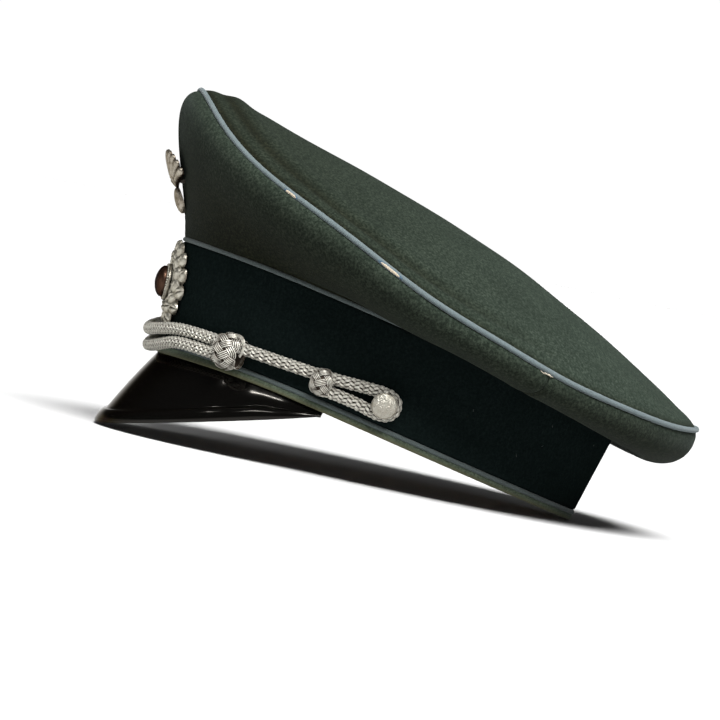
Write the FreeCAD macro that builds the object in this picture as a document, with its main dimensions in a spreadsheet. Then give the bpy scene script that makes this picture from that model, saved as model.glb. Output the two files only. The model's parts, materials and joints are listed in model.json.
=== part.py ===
import FreeCAD, Part
import Sketcher
import math
import os

# Officer's peaked cap. The cap is laid out in its own head frame and then stood on a table:
# the head frame has the lower edge of the band in the plane z = 0, centred on the origin,
# the front of the cap towards -Y and the wearer's left towards +X. Angles around the head
# are in degrees from the centre front (0) through the wearer's left (90) to the back (180).

os.makedirs("parts", exist_ok=True)
doc = FreeCAD.newDocument("peaked_cap")
Vector = FreeCAD.Vector

# ---------------------------------------------------------------- driving dimensions (mm)

DRIVING = {
    "band_half_length": 104.5,
    "band_half_width": 85.0,
    "band_height": 46.5,
    "band_lean": 3.5,
    "band_front_lean": 10.5,
    "band_front_top_dip": 3.3,
    "band_front_foot_dip": 5.0,
    "wool_thickness": 1.5,
    "fibre_thickness": 1.0,
    "leather_thickness": 1.2,
    "sweatband_inset": 4.3,
    "sweatband_height": 45.0,
    "band_piping_radius": 1.2,
    "crown_piping_radius": 1.3,
    "seam_gap": 0.15,
    "layer_gap": 0.3,
    "binding_drop": 3.9,
    "binding_front_drop": 0.9,
    "binding_thickness": 1.2,
    "crown_half_length": 138.4,
    "crown_half_width": 126.0,
    "crown_set_back": 3.0,
    "crown_side_droop": 36.8,
    "crown_brow_droop": 41.0,
    "crown_edge_roll": 3.2,
    "side_seam_angle": 110.0,
    "wire_radius": 0.8,
    "wire_inset": 4.0,
    "wire_drop": 3.4,
    "roll_radius": 2.4,
    "roll_inset": 6.2,
    "roll_drop": 6.7,
    "ferrule_length": 10.0,
    "ferrule_outer_radius": 1.6,
    "ferrule_bore_radius": 1.1,
    "lining_thickness": 0.5,
    "band_lining_inset": 3.2,
    "lining_scale": 0.9,
    "lining_drop": 7.5,
    "shield_half_width": 30.0,
    "shield_half_length": 45.0,
    "shield_thickness": 0.4,
    "visor_half_angle": 72.0,
    "visor_tip_height": -51.0,
    "visor_slope": 0.345,
    "visor_thickness": 1.6,
    "visor_flange_inset": 2.9,
    "visor_bead_height": 8.0,
    "visor_bead_rise": 1.3,
    "cord_radius": 2.95,
    "cord_pitch": 6.1,
    "knot_track_radius": 101.4,
    "knot_travel": 12.0,
    "large_knot_angle": 43.4,
    "large_knot_height": 4.2,
    "large_knot_radius": 8.8,
    "large_knot_clearance": 0.35,
    "large_knot_back": 4.6,
    "small_knot_angle": 69.6,
    "small_knot_height": 8.6,
    "small_knot_radius": 6.6,
    "button_angle": 85.4,
    "button_height": 10.8,
    "button_radius": 6.0,
    "button_rim": 1.0,
    "button_rise": 2.6,
    "button_skin": 0.4,
    "button_neck_radius": 2.2,
    "button_neck_height": 6.9,
    "button_plate_radius": 5.5,
    "button_plate_thickness": 0.7,
    "washer_radius": 4.5,
    "washer_bore": 1.9,
    "washer_thickness": 0.4,
    "prong_width": 1.6,
    "prong_thickness": 0.35,
    "prong_bent_length": 5.0,
    "prong_hole_radius": 1.7,
    "fan_bend_radius": 140.0,
    "fan_lean": 8.0,
    "wreath_bend_radius": 72.0,
    "badge_thickness": 2.2,
    "fan_height": 67.5,
    "fan_half_width": 20.0,
    "wreath_height": 22.5,
    "wreath_half_width": 22.5,
    "wreath_half_height": 19.5,
    "wreath_eye_radius": 6.0,
    "wreath_thickness": 3.2,
    "roundel_radius": 8.7,
    "roundel_base_thickness": 1.8,
    "roundel_dome_radius": 7.4,
    "roundel_dome_rim": 0.5,
    "roundel_dome_rise": 4.0,
    "rest_tilt": 12.15,
}

sheet = doc.addObject("Spreadsheet::Sheet", "dims")
for row, (alias, value) in enumerate(DRIVING.items(), start=1):
    sheet.set("A%d" % row, alias)
    sheet.set("B%d" % row, str(value))
    sheet.setAlias("B%d" % row, alias)
doc.recompute()


def dim(alias):
    return float(sheet.get(alias))


nodes = {}


def add_shape(name, shape):
    """A sub-part whose shape is worked out below from the sheet."""
    feature = doc.addObject("Part::Feature", name)
    feature.Label = name
    feature.Shape = shape
    nodes[name] = feature
    return feature


def spread(start, stop, count):
    return [start + (stop - start) * i / (count - 1) for i in range(count)]


def cosine(angle):
    return math.cos(math.radians(angle))


def sine(angle):
    return math.sin(math.radians(angle))


def around(front, side, back, angle):
    """A value that is known at the front, the sides and the back, blended in between."""
    toward_front = max(0.0, cosine(angle)) ** 2
    toward_back = max(0.0, -cosine(angle)) ** 2
    return side + (front - side) * toward_front + (back - side) * toward_back


# ---------------------------------------------------------------- the band's surface


def band_foot(angle):
    """Height of the lower piping: it dips at the front, over the visor."""
    return -dim("band_front_foot_dip") * max(0.0, cosine(angle)) ** 4


def band_head(angle):
    """Height of the upper piping: it dips a little at the front."""
    return dim("band_height") - dim("band_front_top_dip") * max(0.0, cosine(angle)) ** 4


def band_lean(angle):
    """How far the band leans outwards over its height, as a slope."""
    side = dim("band_lean")
    return around(dim("band_front_lean"), side, side, angle) / dim("band_height")


def oval_normal(angle, half_width, half_length):
    normal = Vector(sine(angle) / half_width, -cosine(angle) / half_length, 0)
    return normal.normalize()


def band_normal(angle):
    return oval_normal(angle, dim("band_half_width"), dim("band_half_length"))


def band_point(angle, height, out=0.0):
    """A point at the height, and so far outside the band's outer face."""
    foot = Vector(dim("band_half_width") * sine(angle), -dim("band_half_length") * cosine(angle), height)
    return foot + band_normal(angle) * (band_lean(angle) * height + out)


def band_frame(angle, height, out=0.0):
    """Placement on the band: local Z points out of it, local X towards the back on the left side."""
    flat_normal = band_normal(angle)
    outward = (flat_normal - Vector(0, 0, band_lean(angle))).normalize()
    along = Vector(0, 0, 1).cross(flat_normal).normalize()
    upward = outward.cross(along)
    turn = FreeCAD.Rotation(along, upward, outward, "ZXY")
    return FreeCAD.Placement(band_point(angle, height, out), turn)


# ---------------------------------------------------------------- the crown's surface

# Height of the top along the middle of the cap, from in front of its brow to behind its back.
RIDGE = [
    (-150.0, 112.6),
    (-131.0, 112.4),
    (-105.0, 110.8),
    (-54.0, 106.5),
    (-19.5, 102.4),
    (24.0, 96.2),
    (65.0, 85.8),
    (91.0, 78.5),
    (124.0, 67.5),
    (150.0, 60.0),
]


def smooth_through(points, at):
    """Cubic curve through the points, with the slope at each taken from its neighbours."""
    last = len(points) - 1

    def slope(index):
        before = points[max(0, index - 1)]
        after = points[min(last, index + 1)]
        return (after[1] - before[1]) / (after[0] - before[0])

    index = max(i for i in range(last) if points[i][0] <= at or i == 0)
    (x0, y0), (x1, y1) = points[index], points[index + 1]
    width = x1 - x0
    u = (at - x0) / width
    rise = (2 * u - 3) * u * u
    start_pull = (u - 1) ** 2 * u * width * slope(index)
    end_pull = (u - 1) * u * u * width * slope(index + 1)
    return y0 * (1 + rise) - y1 * rise + start_pull + end_pull


def top_height(x, y, roll=True):
    """The top is an arch across the cap whose sides droop, most of all beside the brow."""
    across = x / dim("crown_half_width")
    brow = max(0.0, (-y - 30.0) / 100.0) ** 3
    height = smooth_through(RIDGE, y) - (dim("crown_side_droop") + dim("crown_brow_droop") * brow) * across**2
    if roll:
        reach = math.hypot(across, (y - dim("crown_set_back")) / dim("crown_half_length"))
        height -= dim("crown_edge_roll") * reach**12
    return height


def crown_plan(angle, scale=1.0):
    x = scale * dim("crown_half_width") * sine(angle)
    y = dim("crown_set_back") - scale * dim("crown_half_length") * cosine(angle)
    return x, y


def crown_edge(angle):
    x, y = crown_plan(angle)
    return Vector(x, y, top_height(x, y))


def crown_normal(angle):
    return oval_normal(angle, dim("crown_half_width"), dim("crown_half_length"))


def side_curve(angle):
    """Cubic from the top of the band out to the crown's edge, as four poles."""
    above_piping = band_head(angle) + dim("band_piping_radius") + dim("seam_gap")
    foot = band_point(angle, above_piping, around(0.0, 0.3, 0.95, angle))
    edge = crown_edge(angle)
    foot_out = around(7.0, 8.0, 4.5, angle)
    foot_up = around(22.0, -6.0, -20.5, angle)
    edge_out = around(17.0, 9.0, 8.6, angle)
    edge_up = around(-8.0, -17.0, -24.0, angle)
    foot_pole = foot + band_normal(angle) * foot_out + Vector(0, 0, foot_up)
    edge_pole = edge + crown_normal(angle) * edge_out + Vector(0, 0, edge_up)
    return foot, foot_pole, edge_pole, edge


def side_point(angle, along, inset=0.0):
    """A point on the crown's side, 0 at the band and 1 at the crown's edge, moved inwards."""
    foot, foot_pole, edge_pole, edge = side_curve(angle)
    rest = 1 - along
    point = foot * rest**3 + foot_pole * (3 * rest**2 * along)
    point += edge_pole * (3 * rest * along**2) + edge * along**3
    slope = (foot_pole - foot) * rest**2 + (edge_pole - foot_pole) * (2 * rest * along)
    slope += (edge - edge_pole) * along**2
    forward = Vector(0, 0, 1).cross(crown_normal(angle))
    inward = slope.cross(forward).normalize()
    return point + inward * inset


# ---------------------------------------------------------------- ways of making sheets and tubes


def curve_through(points):
    curve = Part.BSplineCurve()
    curve.interpolate(points)
    return curve.toShape()


def closed_ring(section, step=10):
    """A ring lofted through closed polygons all the way round the head."""
    sections = []
    for angle in range(0, 360, step):
        points = section(angle)
        sections.append(Part.makePolygon(points + points[:1]))
    return Part.makeLoft(sections, True, False, True, 5)


def wall(section, angles):
    """A solid lofted through four-sided sections: an outer and an inner curve and two ends."""
    wires = []
    for angle in angles:
        outer, inner = section(angle)
        edges = [
            curve_through(outer),
            Part.LineSegment(outer[-1], inner[-1]).toShape(),
            curve_through(inner[::-1]),
            Part.LineSegment(inner[0], outer[0]).toShape(),
        ]
        wires.append(Part.Wire(edges))
    sleeve = Part.makeLoft(wires, False, False, False, 5)
    caps = [Part.makeFilledFace(wire.Edges) for wire in (wires[0], wires[-1])]
    shell = Part.Shell(sleeve.Faces + caps)
    shell.sewShape()
    return Part.makeSolid(shell)


def tube_section(centre, direction, radius):
    out = direction.cross(Vector(0, 0, 1)).normalize()
    up = out.cross(direction).normalize()

    def rim(angle):
        return centre + out * (radius * cosine(angle)) + up * (radius * sine(angle))

    lower = Part.Arc(rim(180), rim(270), rim(360)).toShape()
    upper = Part.Arc(rim(0), rim(90), rim(180)).toShape()
    return Part.Wire([upper, lower])


def tube_along(point, angles, radius, closed):
    """A round tube whose centre is point(angle)."""
    sections = []
    for angle in angles:
        direction = (point(angle + 0.1) - point(angle - 0.1)).normalize()
        sections.append(tube_section(point(angle), direction, radius))
    return Part.makeLoft(sections, True, False, closed, 5)


DOME_RINGS = [0.0, 0.1, 0.2, 0.3, 0.4, 0.5, 0.6, 0.7, 0.8, 0.86, 0.91, 0.95, 0.98, 1.0]


def dome_face(scale, drop, roll):
    """The crown's top surface as one face, with its pole in the middle."""
    rows = []
    for ring in DOME_RINGS:
        row = []
        for angle in range(0, 361, 10):
            x, y = crown_plan(angle, scale * ring)
            row.append(Vector(x, y, top_height(x, y, roll) - drop))
        rows.append(row)
    surface = Part.BSplineSurface()
    surface.interpolate(rows)
    return surface.toShape()


def longest_edge(face):
    return max((edge for edge in face.Edges if not edge.Degenerated), key=lambda edge: edge.Length)


def dome(scale, drop, thickness, roll):
    upper = dome_face(scale, drop, roll)
    lower = dome_face(scale, drop + thickness, roll)
    rim = Part.makeRuledSurface(longest_edge(upper), longest_edge(lower))
    shell = Part.Shell([upper, lower, rim])
    shell.sewShape()
    return Part.makeSolid(shell)


def drill(shape, frames, radius, depth):
    """Round holes along each frame's local Z, through everything within the depth."""
    for frame in frames:
        hole = Part.makeCylinder(radius, 2 * depth, Vector(0, 0, -depth), Vector(0, 0, 1))
        hole.Placement = frame.multiply(hole.Placement)
        shape = shape.cut(hole)
    return shape


# ---------------------------------------------------------------- where things are fastened


def sides():
    return (("left", 1), ("right", -1))


def button_frame(sign):
    return band_frame(sign * dim("button_angle"), dim("button_height"))


def wreath_frame(angle=0.0):
    return band_frame(angle, dim("wreath_height"))


FAN_PRONG_SPAN = 8.0
WREATH_PRONG_ANGLE = 8.8


def fan_frame():
    """On the front of the crown, square to its surface at the badge's middle."""
    along = next(a for a in spread(0.2, 0.8, 601) if side_point(0, a).z >= dim("fan_height"))
    point = side_point(0, along)
    outward = (point - side_point(0, along, 1.0)).normalize()
    upward = outward.cross(Vector(1, 0, 0)).normalize()
    turn = FreeCAD.Rotation(upward.cross(outward), upward, outward, "ZXY")
    return FreeCAD.Placement(point, turn)


def moved(frame, x=0.0, y=0.0, z=0.0):
    return frame.multiply(FreeCAD.Placement(Vector(x, y, z), FreeCAD.Rotation()))


def behind_band():
    """How far inside the band's face the back of its stiffener lies."""
    return -(dim("wool_thickness") + dim("layer_gap") + dim("fibre_thickness"))


def behind_crown_front():
    return -(dim("wool_thickness") + 0.5 + dim("fibre_thickness"))


wreath_fixings = [wreath_frame(angle) for angle in (-WREATH_PRONG_ANGLE, WREATH_PRONG_ANGLE)]
band_fixings = [button_frame(1), button_frame(-1), wreath_frame()] + wreath_fixings
crown_fixings = [moved(fan_frame(), x) for x in (-FAN_PRONG_SPAN, FAN_PRONG_SPAN)]

# ---------------------------------------------------------------- crown cloth


def make_crown_top_panel():
    clear = 1 - (dim("crown_piping_radius") + dim("seam_gap")) / dim("crown_half_width")
    add_shape("crown_top_panel", dome(clear, 0.0, dim("wool_thickness"), True))


def crown_panel(start, stop):
    clear = dim("crown_piping_radius") + dim("seam_gap")

    def section(angle):
        _, _, edge_pole, edge = side_curve(angle)
        last = 1 - clear / (3 * (edge - edge_pole).Length)
        outer = [side_point(angle, a) for a in spread(0.0, last, 10)]
        inner = [side_point(angle, a, dim("wool_thickness")) for a in spread(0.0, last, 10)]
        return outer, inner

    return wall(section, spread(start, stop, 2 + int(abs(stop - start) / 7)))


def make_crown_side_panels():
    seam = dim("side_seam_angle")
    gap = 0.1
    spans = {
        "crown_left_front_panel": (gap, seam - gap),
        "crown_right_front_panel": (-seam + gap, -gap),
        "crown_left_rear_panel": (seam + gap, 180 - gap),
        "crown_right_rear_panel": (180 + gap, 360 - seam - gap),
    }
    for name, (start, stop) in spans.items():
        panel = crown_panel(start, stop)
        if "front" in name:
            panel = drill(panel, crown_fixings, dim("prong_hole_radius"), 6.0)
        add_shape(name, panel)


def make_crown_piping():
    add_shape("crown_piping", tube_along(crown_edge, range(0, 360, 6), dim("crown_piping_radius"), True))


def make_crown_wire():
    """Spring wire that spreads the crown, with its ends meeting in a ferrule at the back."""

    def centre(angle):
        drop = Vector(0, 0, dim("wire_drop"))
        return crown_edge(angle) - crown_normal(angle) * dim("wire_inset") - drop

    hoop = tube_along(centre, range(0, 360, 6), dim("wire_radius"), True)
    gap = Part.makeBox(1.0, 10.0, 10.0, centre(180) - Vector(0.5, 5.0, 5.0))
    add_shape("crown_wire_ring", hoop.cut(gap))

    ferrule = doc.addObject("PartDesign::Body", "wire_ferrule")
    sleeve = washer_pad(ferrule, "ferrule_outer_radius", "ferrule_bore_radius", "ferrule_length")
    sleeve.Midplane = True
    ferrule.Placement = FreeCAD.Placement(centre(180), FreeCAD.Rotation(Vector(0, 1, 0), 90))
    nodes["wire_ferrule"] = ferrule


def make_crown_roll():
    """Roll of wadding under the crown's edge, which keeps the side full."""

    def centre(angle):
        drop = Vector(0, 0, dim("roll_drop"))
        return crown_edge(angle) - crown_normal(angle) * dim("roll_inset") - drop

    add_shape("crown_edge_wadding", tube_along(centre, range(0, 360, 8), dim("roll_radius"), True))


def make_front_stiffener():
    """Stiff pad that holds the front of the crown up, just behind its cloth."""
    near = dim("wool_thickness") + 0.5
    far = near + dim("fibre_thickness")

    def section(angle):
        outer = [side_point(angle, a, near) for a in spread(0.06, 0.78, 8)]
        inner = [side_point(angle, a, far) for a in spread(0.06, 0.78, 8)]
        return outer, inner

    pad = wall(section, spread(-30, 30, 11))
    add_shape("front_stiffener", drill(pad, crown_fixings, dim("prong_hole_radius"), 8.0))


# ---------------------------------------------------------------- band


def band_ring(outer, inner, foot, head):
    """A ring that follows the band between two insets and two heights."""

    def section(angle):
        low = foot(angle)
        high = head(angle)
        return [
            band_point(angle, low, -outer),
            band_point(angle, high, -outer),
            band_point(angle, high, -inner),
            band_point(angle, low, -inner),
        ]

    return closed_ring(section)


def make_cap_band():
    clear = dim("band_piping_radius") + dim("seam_gap")
    thickness = dim("wool_thickness")
    ring = band_ring(0.0, thickness, lambda a: band_foot(a) + clear, lambda a: band_head(a) - clear)
    add_shape("cap_band", drill(ring, band_fixings, dim("prong_hole_radius"), 6.0))


def make_band_pipings():
    """Cloth-covered cords sewn along both edges of the band, half sunk into the seam."""
    sunk = 0.5
    radius = dim("band_piping_radius")
    for name, height in (("band_upper_piping", band_head), ("band_lower_piping", band_foot)):
        centre = lambda angle, height=height: band_point(angle, height(angle), -sunk)
        add_shape(name, tube_along(centre, range(0, 360, 6), radius, True))


def visor_share(angle):
    """1 at the middle of the visor, 0 at its ends and beyond them."""
    end = cosine(dim("visor_half_angle"))
    return max(0.0, (cosine(angle) - end) / (1 - end))


def binding_foot(angle):
    front = max(0.0, cosine(angle)) ** 4
    return band_foot(angle) - dim("binding_drop") - dim("binding_front_drop") * front


def visor_root_out(angle):
    """How far outside the band's face the visor comes out from under the binding."""
    return 4.5 * visor_share(angle) - 2.6


def make_edge_binding():
    """Strip of crown cloth below the lower piping: it laps over the visor's root."""
    proud = 0.3
    thick = dim("binding_thickness")

    def section(angle):
        high = band_foot(angle) - dim("band_piping_radius") - dim("seam_gap")
        low = binding_foot(angle)
        lap = max(proud, visor_root_out(angle) + thick + dim("seam_gap"))
        return [
            band_point(angle, low, lap),
            band_point(angle, high, proud),
            band_point(angle, high, proud - thick),
            band_point(angle, low, lap - thick),
        ]

    add_shape("edge_binding", closed_ring(section, 6))


def make_band_stiffener():
    near = dim("wool_thickness") + dim("layer_gap")
    far = near + dim("fibre_thickness")
    ring = band_ring(near, far, lambda a: band_foot(a) + 0.5, lambda a: band_head(a) - 0.5)
    add_shape("band_stiffener", drill(ring, band_fixings, dim("prong_hole_radius"), 6.0))


def make_sweatband():
    near = dim("sweatband_inset")
    far = near + dim("leather_thickness")
    foot = lambda angle: band_foot(angle) - 3.0
    head = lambda angle: foot(angle) + dim("sweatband_height")
    add_shape("sweatband", band_ring(near, far, foot, head))

    def section(angle):
        heights = spread(foot(angle) + 1.0, head(angle) - 1.0, 4)
        outer = [band_point(angle, height, -far - 0.05) for height in heights]
        inner = [band_point(angle, height, -far - 0.65) for height in heights]
        return outer, inner

    add_shape("sweatband_seam_strip", wall(section, spread(177, 183, 3)))


# ---------------------------------------------------------------- lining


def lining_edge(angle):
    x, y = crown_plan(angle, dim("lining_scale"))
    return Vector(x, y, top_height(x, y, False) - dim("lining_drop"))


def make_lining():
    thick = dim("lining_thickness")
    add_shape("lining_top", dome(dim("lining_scale"), dim("lining_drop"), thick, False))

    def section(angle):
        head = band_head(angle)
        out = -dim("band_lining_inset")
        line = [
            band_point(angle, head - 10.0, out),
            band_point(angle, head - 3.0, out),
            band_point(angle, head + 5.0, out - 1.8),
            lining_edge(angle) - Vector(0, 0, thick + 0.3),
        ]
        inward = band_normal(angle) * -thick
        return line + [point + inward for point in reversed(line)]

    add_shape("lining_side", closed_ring(section, 8))


def make_lining_shield():
    """Clear diamond-shaped guard sewn under the middle of the top lining."""
    half_width = dim("shield_half_width")
    half_length = dim("shield_half_length")
    corners = [
        Vector(0, -half_length, 0),
        Vector(half_width, 0, 0),
        Vector(0, half_length, 0),
        Vector(-half_width, 0, 0),
    ]
    outline = Part.Face(Part.makePolygon(corners + corners[:1]))
    prism = outline.extrude(Vector(0, 0, 150))
    drop = dim("lining_drop") + dim("lining_thickness") + 0.1
    sheet_below = dome(dim("lining_scale"), drop, dim("shield_thickness"), False)
    add_shape("lining_shield", sheet_below.common(prism))


# ---------------------------------------------------------------- visor


def visor_section(angle):
    """Outer and inner line of the visor, from its hidden flange down to the moulded rim."""
    flange = dim("visor_flange_inset")
    foot = band_foot(angle)
    root = binding_foot(angle) - 0.1
    tip = root - 2.0 + (dim("visor_tip_height") - binding_foot(0) + 2.0) * visor_share(angle)
    fall = root - tip
    root_out = visor_root_out(angle) + band_lean(angle) * root
    bead = dim("visor_bead_height") * min(1.0, fall / 16.0)
    rise = dim("visor_bead_rise") * min(1.0, fall / 16.0)
    normal = band_normal(angle)
    start = Vector(dim("band_half_width") * sine(angle), -dim("band_half_length") * cosine(angle), 0)

    def at(out, height):
        return start + normal * out + Vector(0, 0, height)

    outer = [
        at(band_lean(angle) * (foot + 9.0) - flange, foot + 9.0),
        at(band_lean(angle) * (foot + 4.0) - flange, foot + 4.0),
        at(band_lean(angle) * (foot - 1.0) - flange, foot - 1.0),
        at(root_out, root),
    ]
    for share in (0.35, 0.7, 1.0):
        drop = (fall - bead) * share
        outer.append(at(root_out + dim("visor_slope") * drop, root - drop))
    for share, swell in ((0.25, 0.85), (0.55, 1.0), (0.85, 0.75), (1.0, 0.2)):
        drop = fall - bead + bead * share
        outer.append(at(root_out + dim("visor_slope") * drop + rise * swell, root - drop))
    inner = []
    for index, point in enumerate(outer):
        thick = dim("visor_thickness") * (0.75 if index < 3 else 1.0)
        slope = 0.0 if index < 3 else dim("visor_slope")
        inward = (normal * -1 - Vector(0, 0, slope)).normalize()
        inner.append(point + inward * thick)
    return outer, inner


def make_visor():
    """Vulcanised fibre, bent from one sheet: made of flat strips, so it lofts cleanly."""
    sections = []
    end = dim("visor_half_angle")
    for angle in spread(-end, end, 25):
        outer, inner = visor_section(angle)
        loop = outer + inner[::-1]
        sections.append(Part.makePolygon(loop + loop[:1]))
    add_shape("visor", Part.makeLoft(sections, True, False, False, 5))


# ---------------------------------------------------------------- chin cords and their knots


class KnotTrack:
    """The round path that a large knot follows along its cord, on one side of the cap.

    It is an arc about an upright axle, measured in mm from the knot's resting place: towards the
    back up to back_reach, and towards the front up to front_reach.
    """

    out = 5.8
    turn_in = 3.0
    climb = 4.6
    back_reach = 11.0

    def __init__(self, sign):
        angle = sign * dim("large_knot_angle")
        self.radius = dim("knot_track_radius")
        self.front_reach = dim("knot_travel") + 10.0
        self.middle = band_point(angle, dim("large_knot_height"), self.out)
        back = Vector(dim("band_half_width") * cosine(angle), dim("band_half_length") * sine(angle), 0) * sign
        back = FreeCAD.Rotation(Vector(0, 0, 1), sign * self.turn_in).multVec(back.normalize())
        self.out_dir = back.cross(Vector(0, 0, 1)) * sign
        self.back = (back + Vector(0, 0, math.tan(math.radians(self.climb)))).normalize()
        self.axle = self.out_dir.cross(self.back).normalize()
        self.up = self.axle * sign
        self.centre = self.middle - self.out_dir * self.radius

    def spoke(self, distance):
        swing = distance / self.radius
        return self.out_dir * math.cos(swing) + self.back * math.sin(swing)

    def at(self, distance, lift=0.0):
        """The point so far along the arc towards the back, and so far up its axle."""
        return self.centre + self.spoke(distance) * self.radius + self.up * lift

    def corner(self, start, stop, lift):
        """Where the tangents at two points of the arc meet, and how long each is."""
        half = (stop - start) / 2 / self.radius
        point = self.centre + self.spoke((start + stop) / 2) * (self.radius / math.cos(half))
        return point + self.up * lift, self.radius * math.tan(half)

    def leave(self, distance, run, lift):
        """A point on the straight run that leaves the arc tangentially at the distance."""
        swing = distance / self.radius
        tangent = self.back * math.cos(swing) - self.out_dir * math.sin(swing)
        return self.at(distance, lift) + tangent * run


tracks = {sign: KnotTrack(sign) for _, sign in sides()}


def tube_through(corners, bends, radius):
    """A cord: straight runs joined by tangent arcs. bends gives each inner corner's tangent length,
    or None for 0.45 of its shorter run."""
    edges = []
    here = corners[0]
    for index in range(1, len(corners) - 1):
        corner = corners[index]
        arriving = corner - corners[index - 1]
        leaving = corners[index + 1] - corner
        tangent = bends.get(index) or 0.45 * min(arriving.Length, leaving.Length)
        arriving.normalize()
        leaving.normalize()
        start = corner - arriving * tangent
        stop = corner + leaving * tangent
        half = arriving.getAngle(leaving) / 2
        bend_radius = tangent / math.tan(half)
        inward = (leaving - arriving).normalize()
        middle = corner + inward * (bend_radius / math.cos(half) - bend_radius)
        if (start - here).Length > 1e-3:
            edges.append(Part.LineSegment(here, start).toShape())
        edges.append(Part.Arc(start, middle, stop).toShape())
        print("  bend %2d  radius %6.1f mm" % (index, bend_radius))
        here = stop
    if (corners[-1] - here).Length > 1e-3:
        edges.append(Part.LineSegment(here, corners[-1]).toShape())
    path = Part.Wire(edges)
    heading = edges[0].tangentAt(edges[0].FirstParameter)
    ring = Part.Wire([Part.Circle(corners[0], heading, radius).toShape()])
    tube = path.makePipeShell([ring], True, False)
    expected = math.pi * radius**2 * path.Length
    print("  length %.1f mm, volume %.0f of %.0f" % (path.Length, tube.Volume, expected))
    return tube


def loop_corners(sign):
    """From the cord's end in the small knot, round the button and back through the small knot."""
    return [
        band_point(sign * 70.4, 5.6, 3.7),
        band_point(sign * 77.6, 6.6, 4.0),
        band_point(sign * 88.2, 4.6, 3.7),
        band_point(sign * 88.2, 16.6, 3.7),
        band_point(sign * 77.6, 13.9, 4.0),
        band_point(sign * 69.6, 11.3, 4.1),
    ]


# Where each cord runs in front of the band: half span, then forward position and height of its corners.
FRONT_UPPER = {"span": 20.0, "shoulder": (-110.2, 0.6), "middle": (-113.2, -2.2)}
FRONT_LOWER = {"span": 20.0, "shoulder": (-107.6, -6.6), "middle": (-110.3, -9.1)}
FRONT_RUN = 10.0
BACK_RUN = 9.5
END_IN_KNOT = 4.5


def chin_cord_route(sign, lift, front):
    """One cord: its loop is on the side given by sign, and its far end is in the other large knot."""
    near = tracks[sign]
    far = tracks[-sign]
    corners = loop_corners(sign)
    bends = {2: 5.55, 3: 5.55}
    corners.append(near.leave(near.back_reach, BACK_RUN, lift))
    bends[len(corners) - 1] = BACK_RUN - 0.5
    corner, tangent = near.corner(-near.front_reach, near.back_reach, lift)
    bends[len(corners)] = tangent
    corners.append(corner)
    corners.append(near.leave(-near.front_reach, -FRONT_RUN, lift))
    bends[len(corners) - 1] = FRONT_RUN - 1.0
    y, z = front["shoulder"]
    corners.append(Vector(sign * front["span"], y, z))
    corners.append(Vector(0, *front["middle"]))
    corners.append(Vector(-sign * front["span"], y, z))
    corners.append(far.leave(-far.front_reach, -FRONT_RUN, lift))
    bends[len(corners) - 1] = FRONT_RUN - 1.0
    corner, tangent = far.corner(-far.front_reach, -END_IN_KNOT, lift)
    bends[len(corners)] = tangent
    corners.append(corner)
    corners.append(far.at(-END_IN_KNOT, lift))
    return corners, bends


def make_chin_cords():
    half_pitch = dim("cord_pitch") / 2
    cords = (
        ("chin_cord_upper", 1, half_pitch, FRONT_UPPER),
        ("chin_cord_lower", -1, -half_pitch, FRONT_LOWER),
    )
    for name, sign, lift, front in cords:
        print(name)
        corners, bends = chin_cord_route(sign, lift, front)
        add_shape(name, tube_through(corners, bends, dim("cord_radius")))


def flat_backed_ball(centre, turn, radius, back):
    """A ball cut flat on the side towards the band: turn carries local Z to the outward direction."""
    width = 4 * radius
    behind = Part.makeBox(width, width, width, Vector(-width / 2, -width / 2, -back - width))
    behind.Placement = FreeCAD.Placement(centre, turn)
    return Part.makeSphere(radius, centre).cut(behind)


def knot_slot(track):
    """The oval hole of a large knot, swept about the axle that the knot swings on."""
    half_width = dim("cord_radius") + dim("large_knot_clearance")
    straight = dim("cord_pitch") / 2
    half_height = half_width + straight
    half_sweep = dim("large_knot_radius") + 3.0

    def at(out, up):
        return track.at(-half_sweep) + track.spoke(-half_sweep) * out + track.axle * up

    edges = [
        Part.LineSegment(at(half_width, -straight), at(half_width, straight)).toShape(),
        Part.Arc(at(half_width, straight), at(0, half_height), at(-half_width, straight)).toShape(),
        Part.LineSegment(at(-half_width, straight), at(-half_width, -straight)).toShape(),
        Part.Arc(at(-half_width, -straight), at(0, -half_height), at(half_width, -straight)).toShape(),
    ]
    swing = math.degrees(2 * half_sweep / track.radius)
    return Part.Face(Part.Wire(edges)).revolve(track.centre, track.axle, swing)


def make_large_knots():
    """Turk's-head knots that slide along the cords: balls with a flat back and a curved slot."""
    for side, sign in sides():
        track = tracks[sign]
        turn = FreeCAD.Rotation(track.back, track.axle, track.out_dir, "ZXY")
        knot = flat_backed_ball(track.middle, turn, dim("large_knot_radius"), dim("large_knot_back"))
        add_shape("large_knot_" + side, knot.cut(knot_slot(track)))


def make_small_knots():
    """Fixed knots that close each loop, cut to fit the cord that runs through them."""
    cords = {"left": nodes["chin_cord_upper"], "right": nodes["chin_cord_lower"]}
    out = 4.0
    for side, sign in sides():
        frame = band_frame(sign * dim("small_knot_angle"), dim("small_knot_height"), out)
        knot = flat_backed_ball(frame.Base, frame.Rotation, dim("small_knot_radius"), out - 0.35)
        add_shape("small_knot_" + side, knot.cut(cords[side].Shape))


# ---------------------------------------------------------------- discs, buttons and prongs


def origin_plane(body, role):
    return next(feature for feature in body.Origin.OriginFeatures if feature.Role == role)


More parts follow.
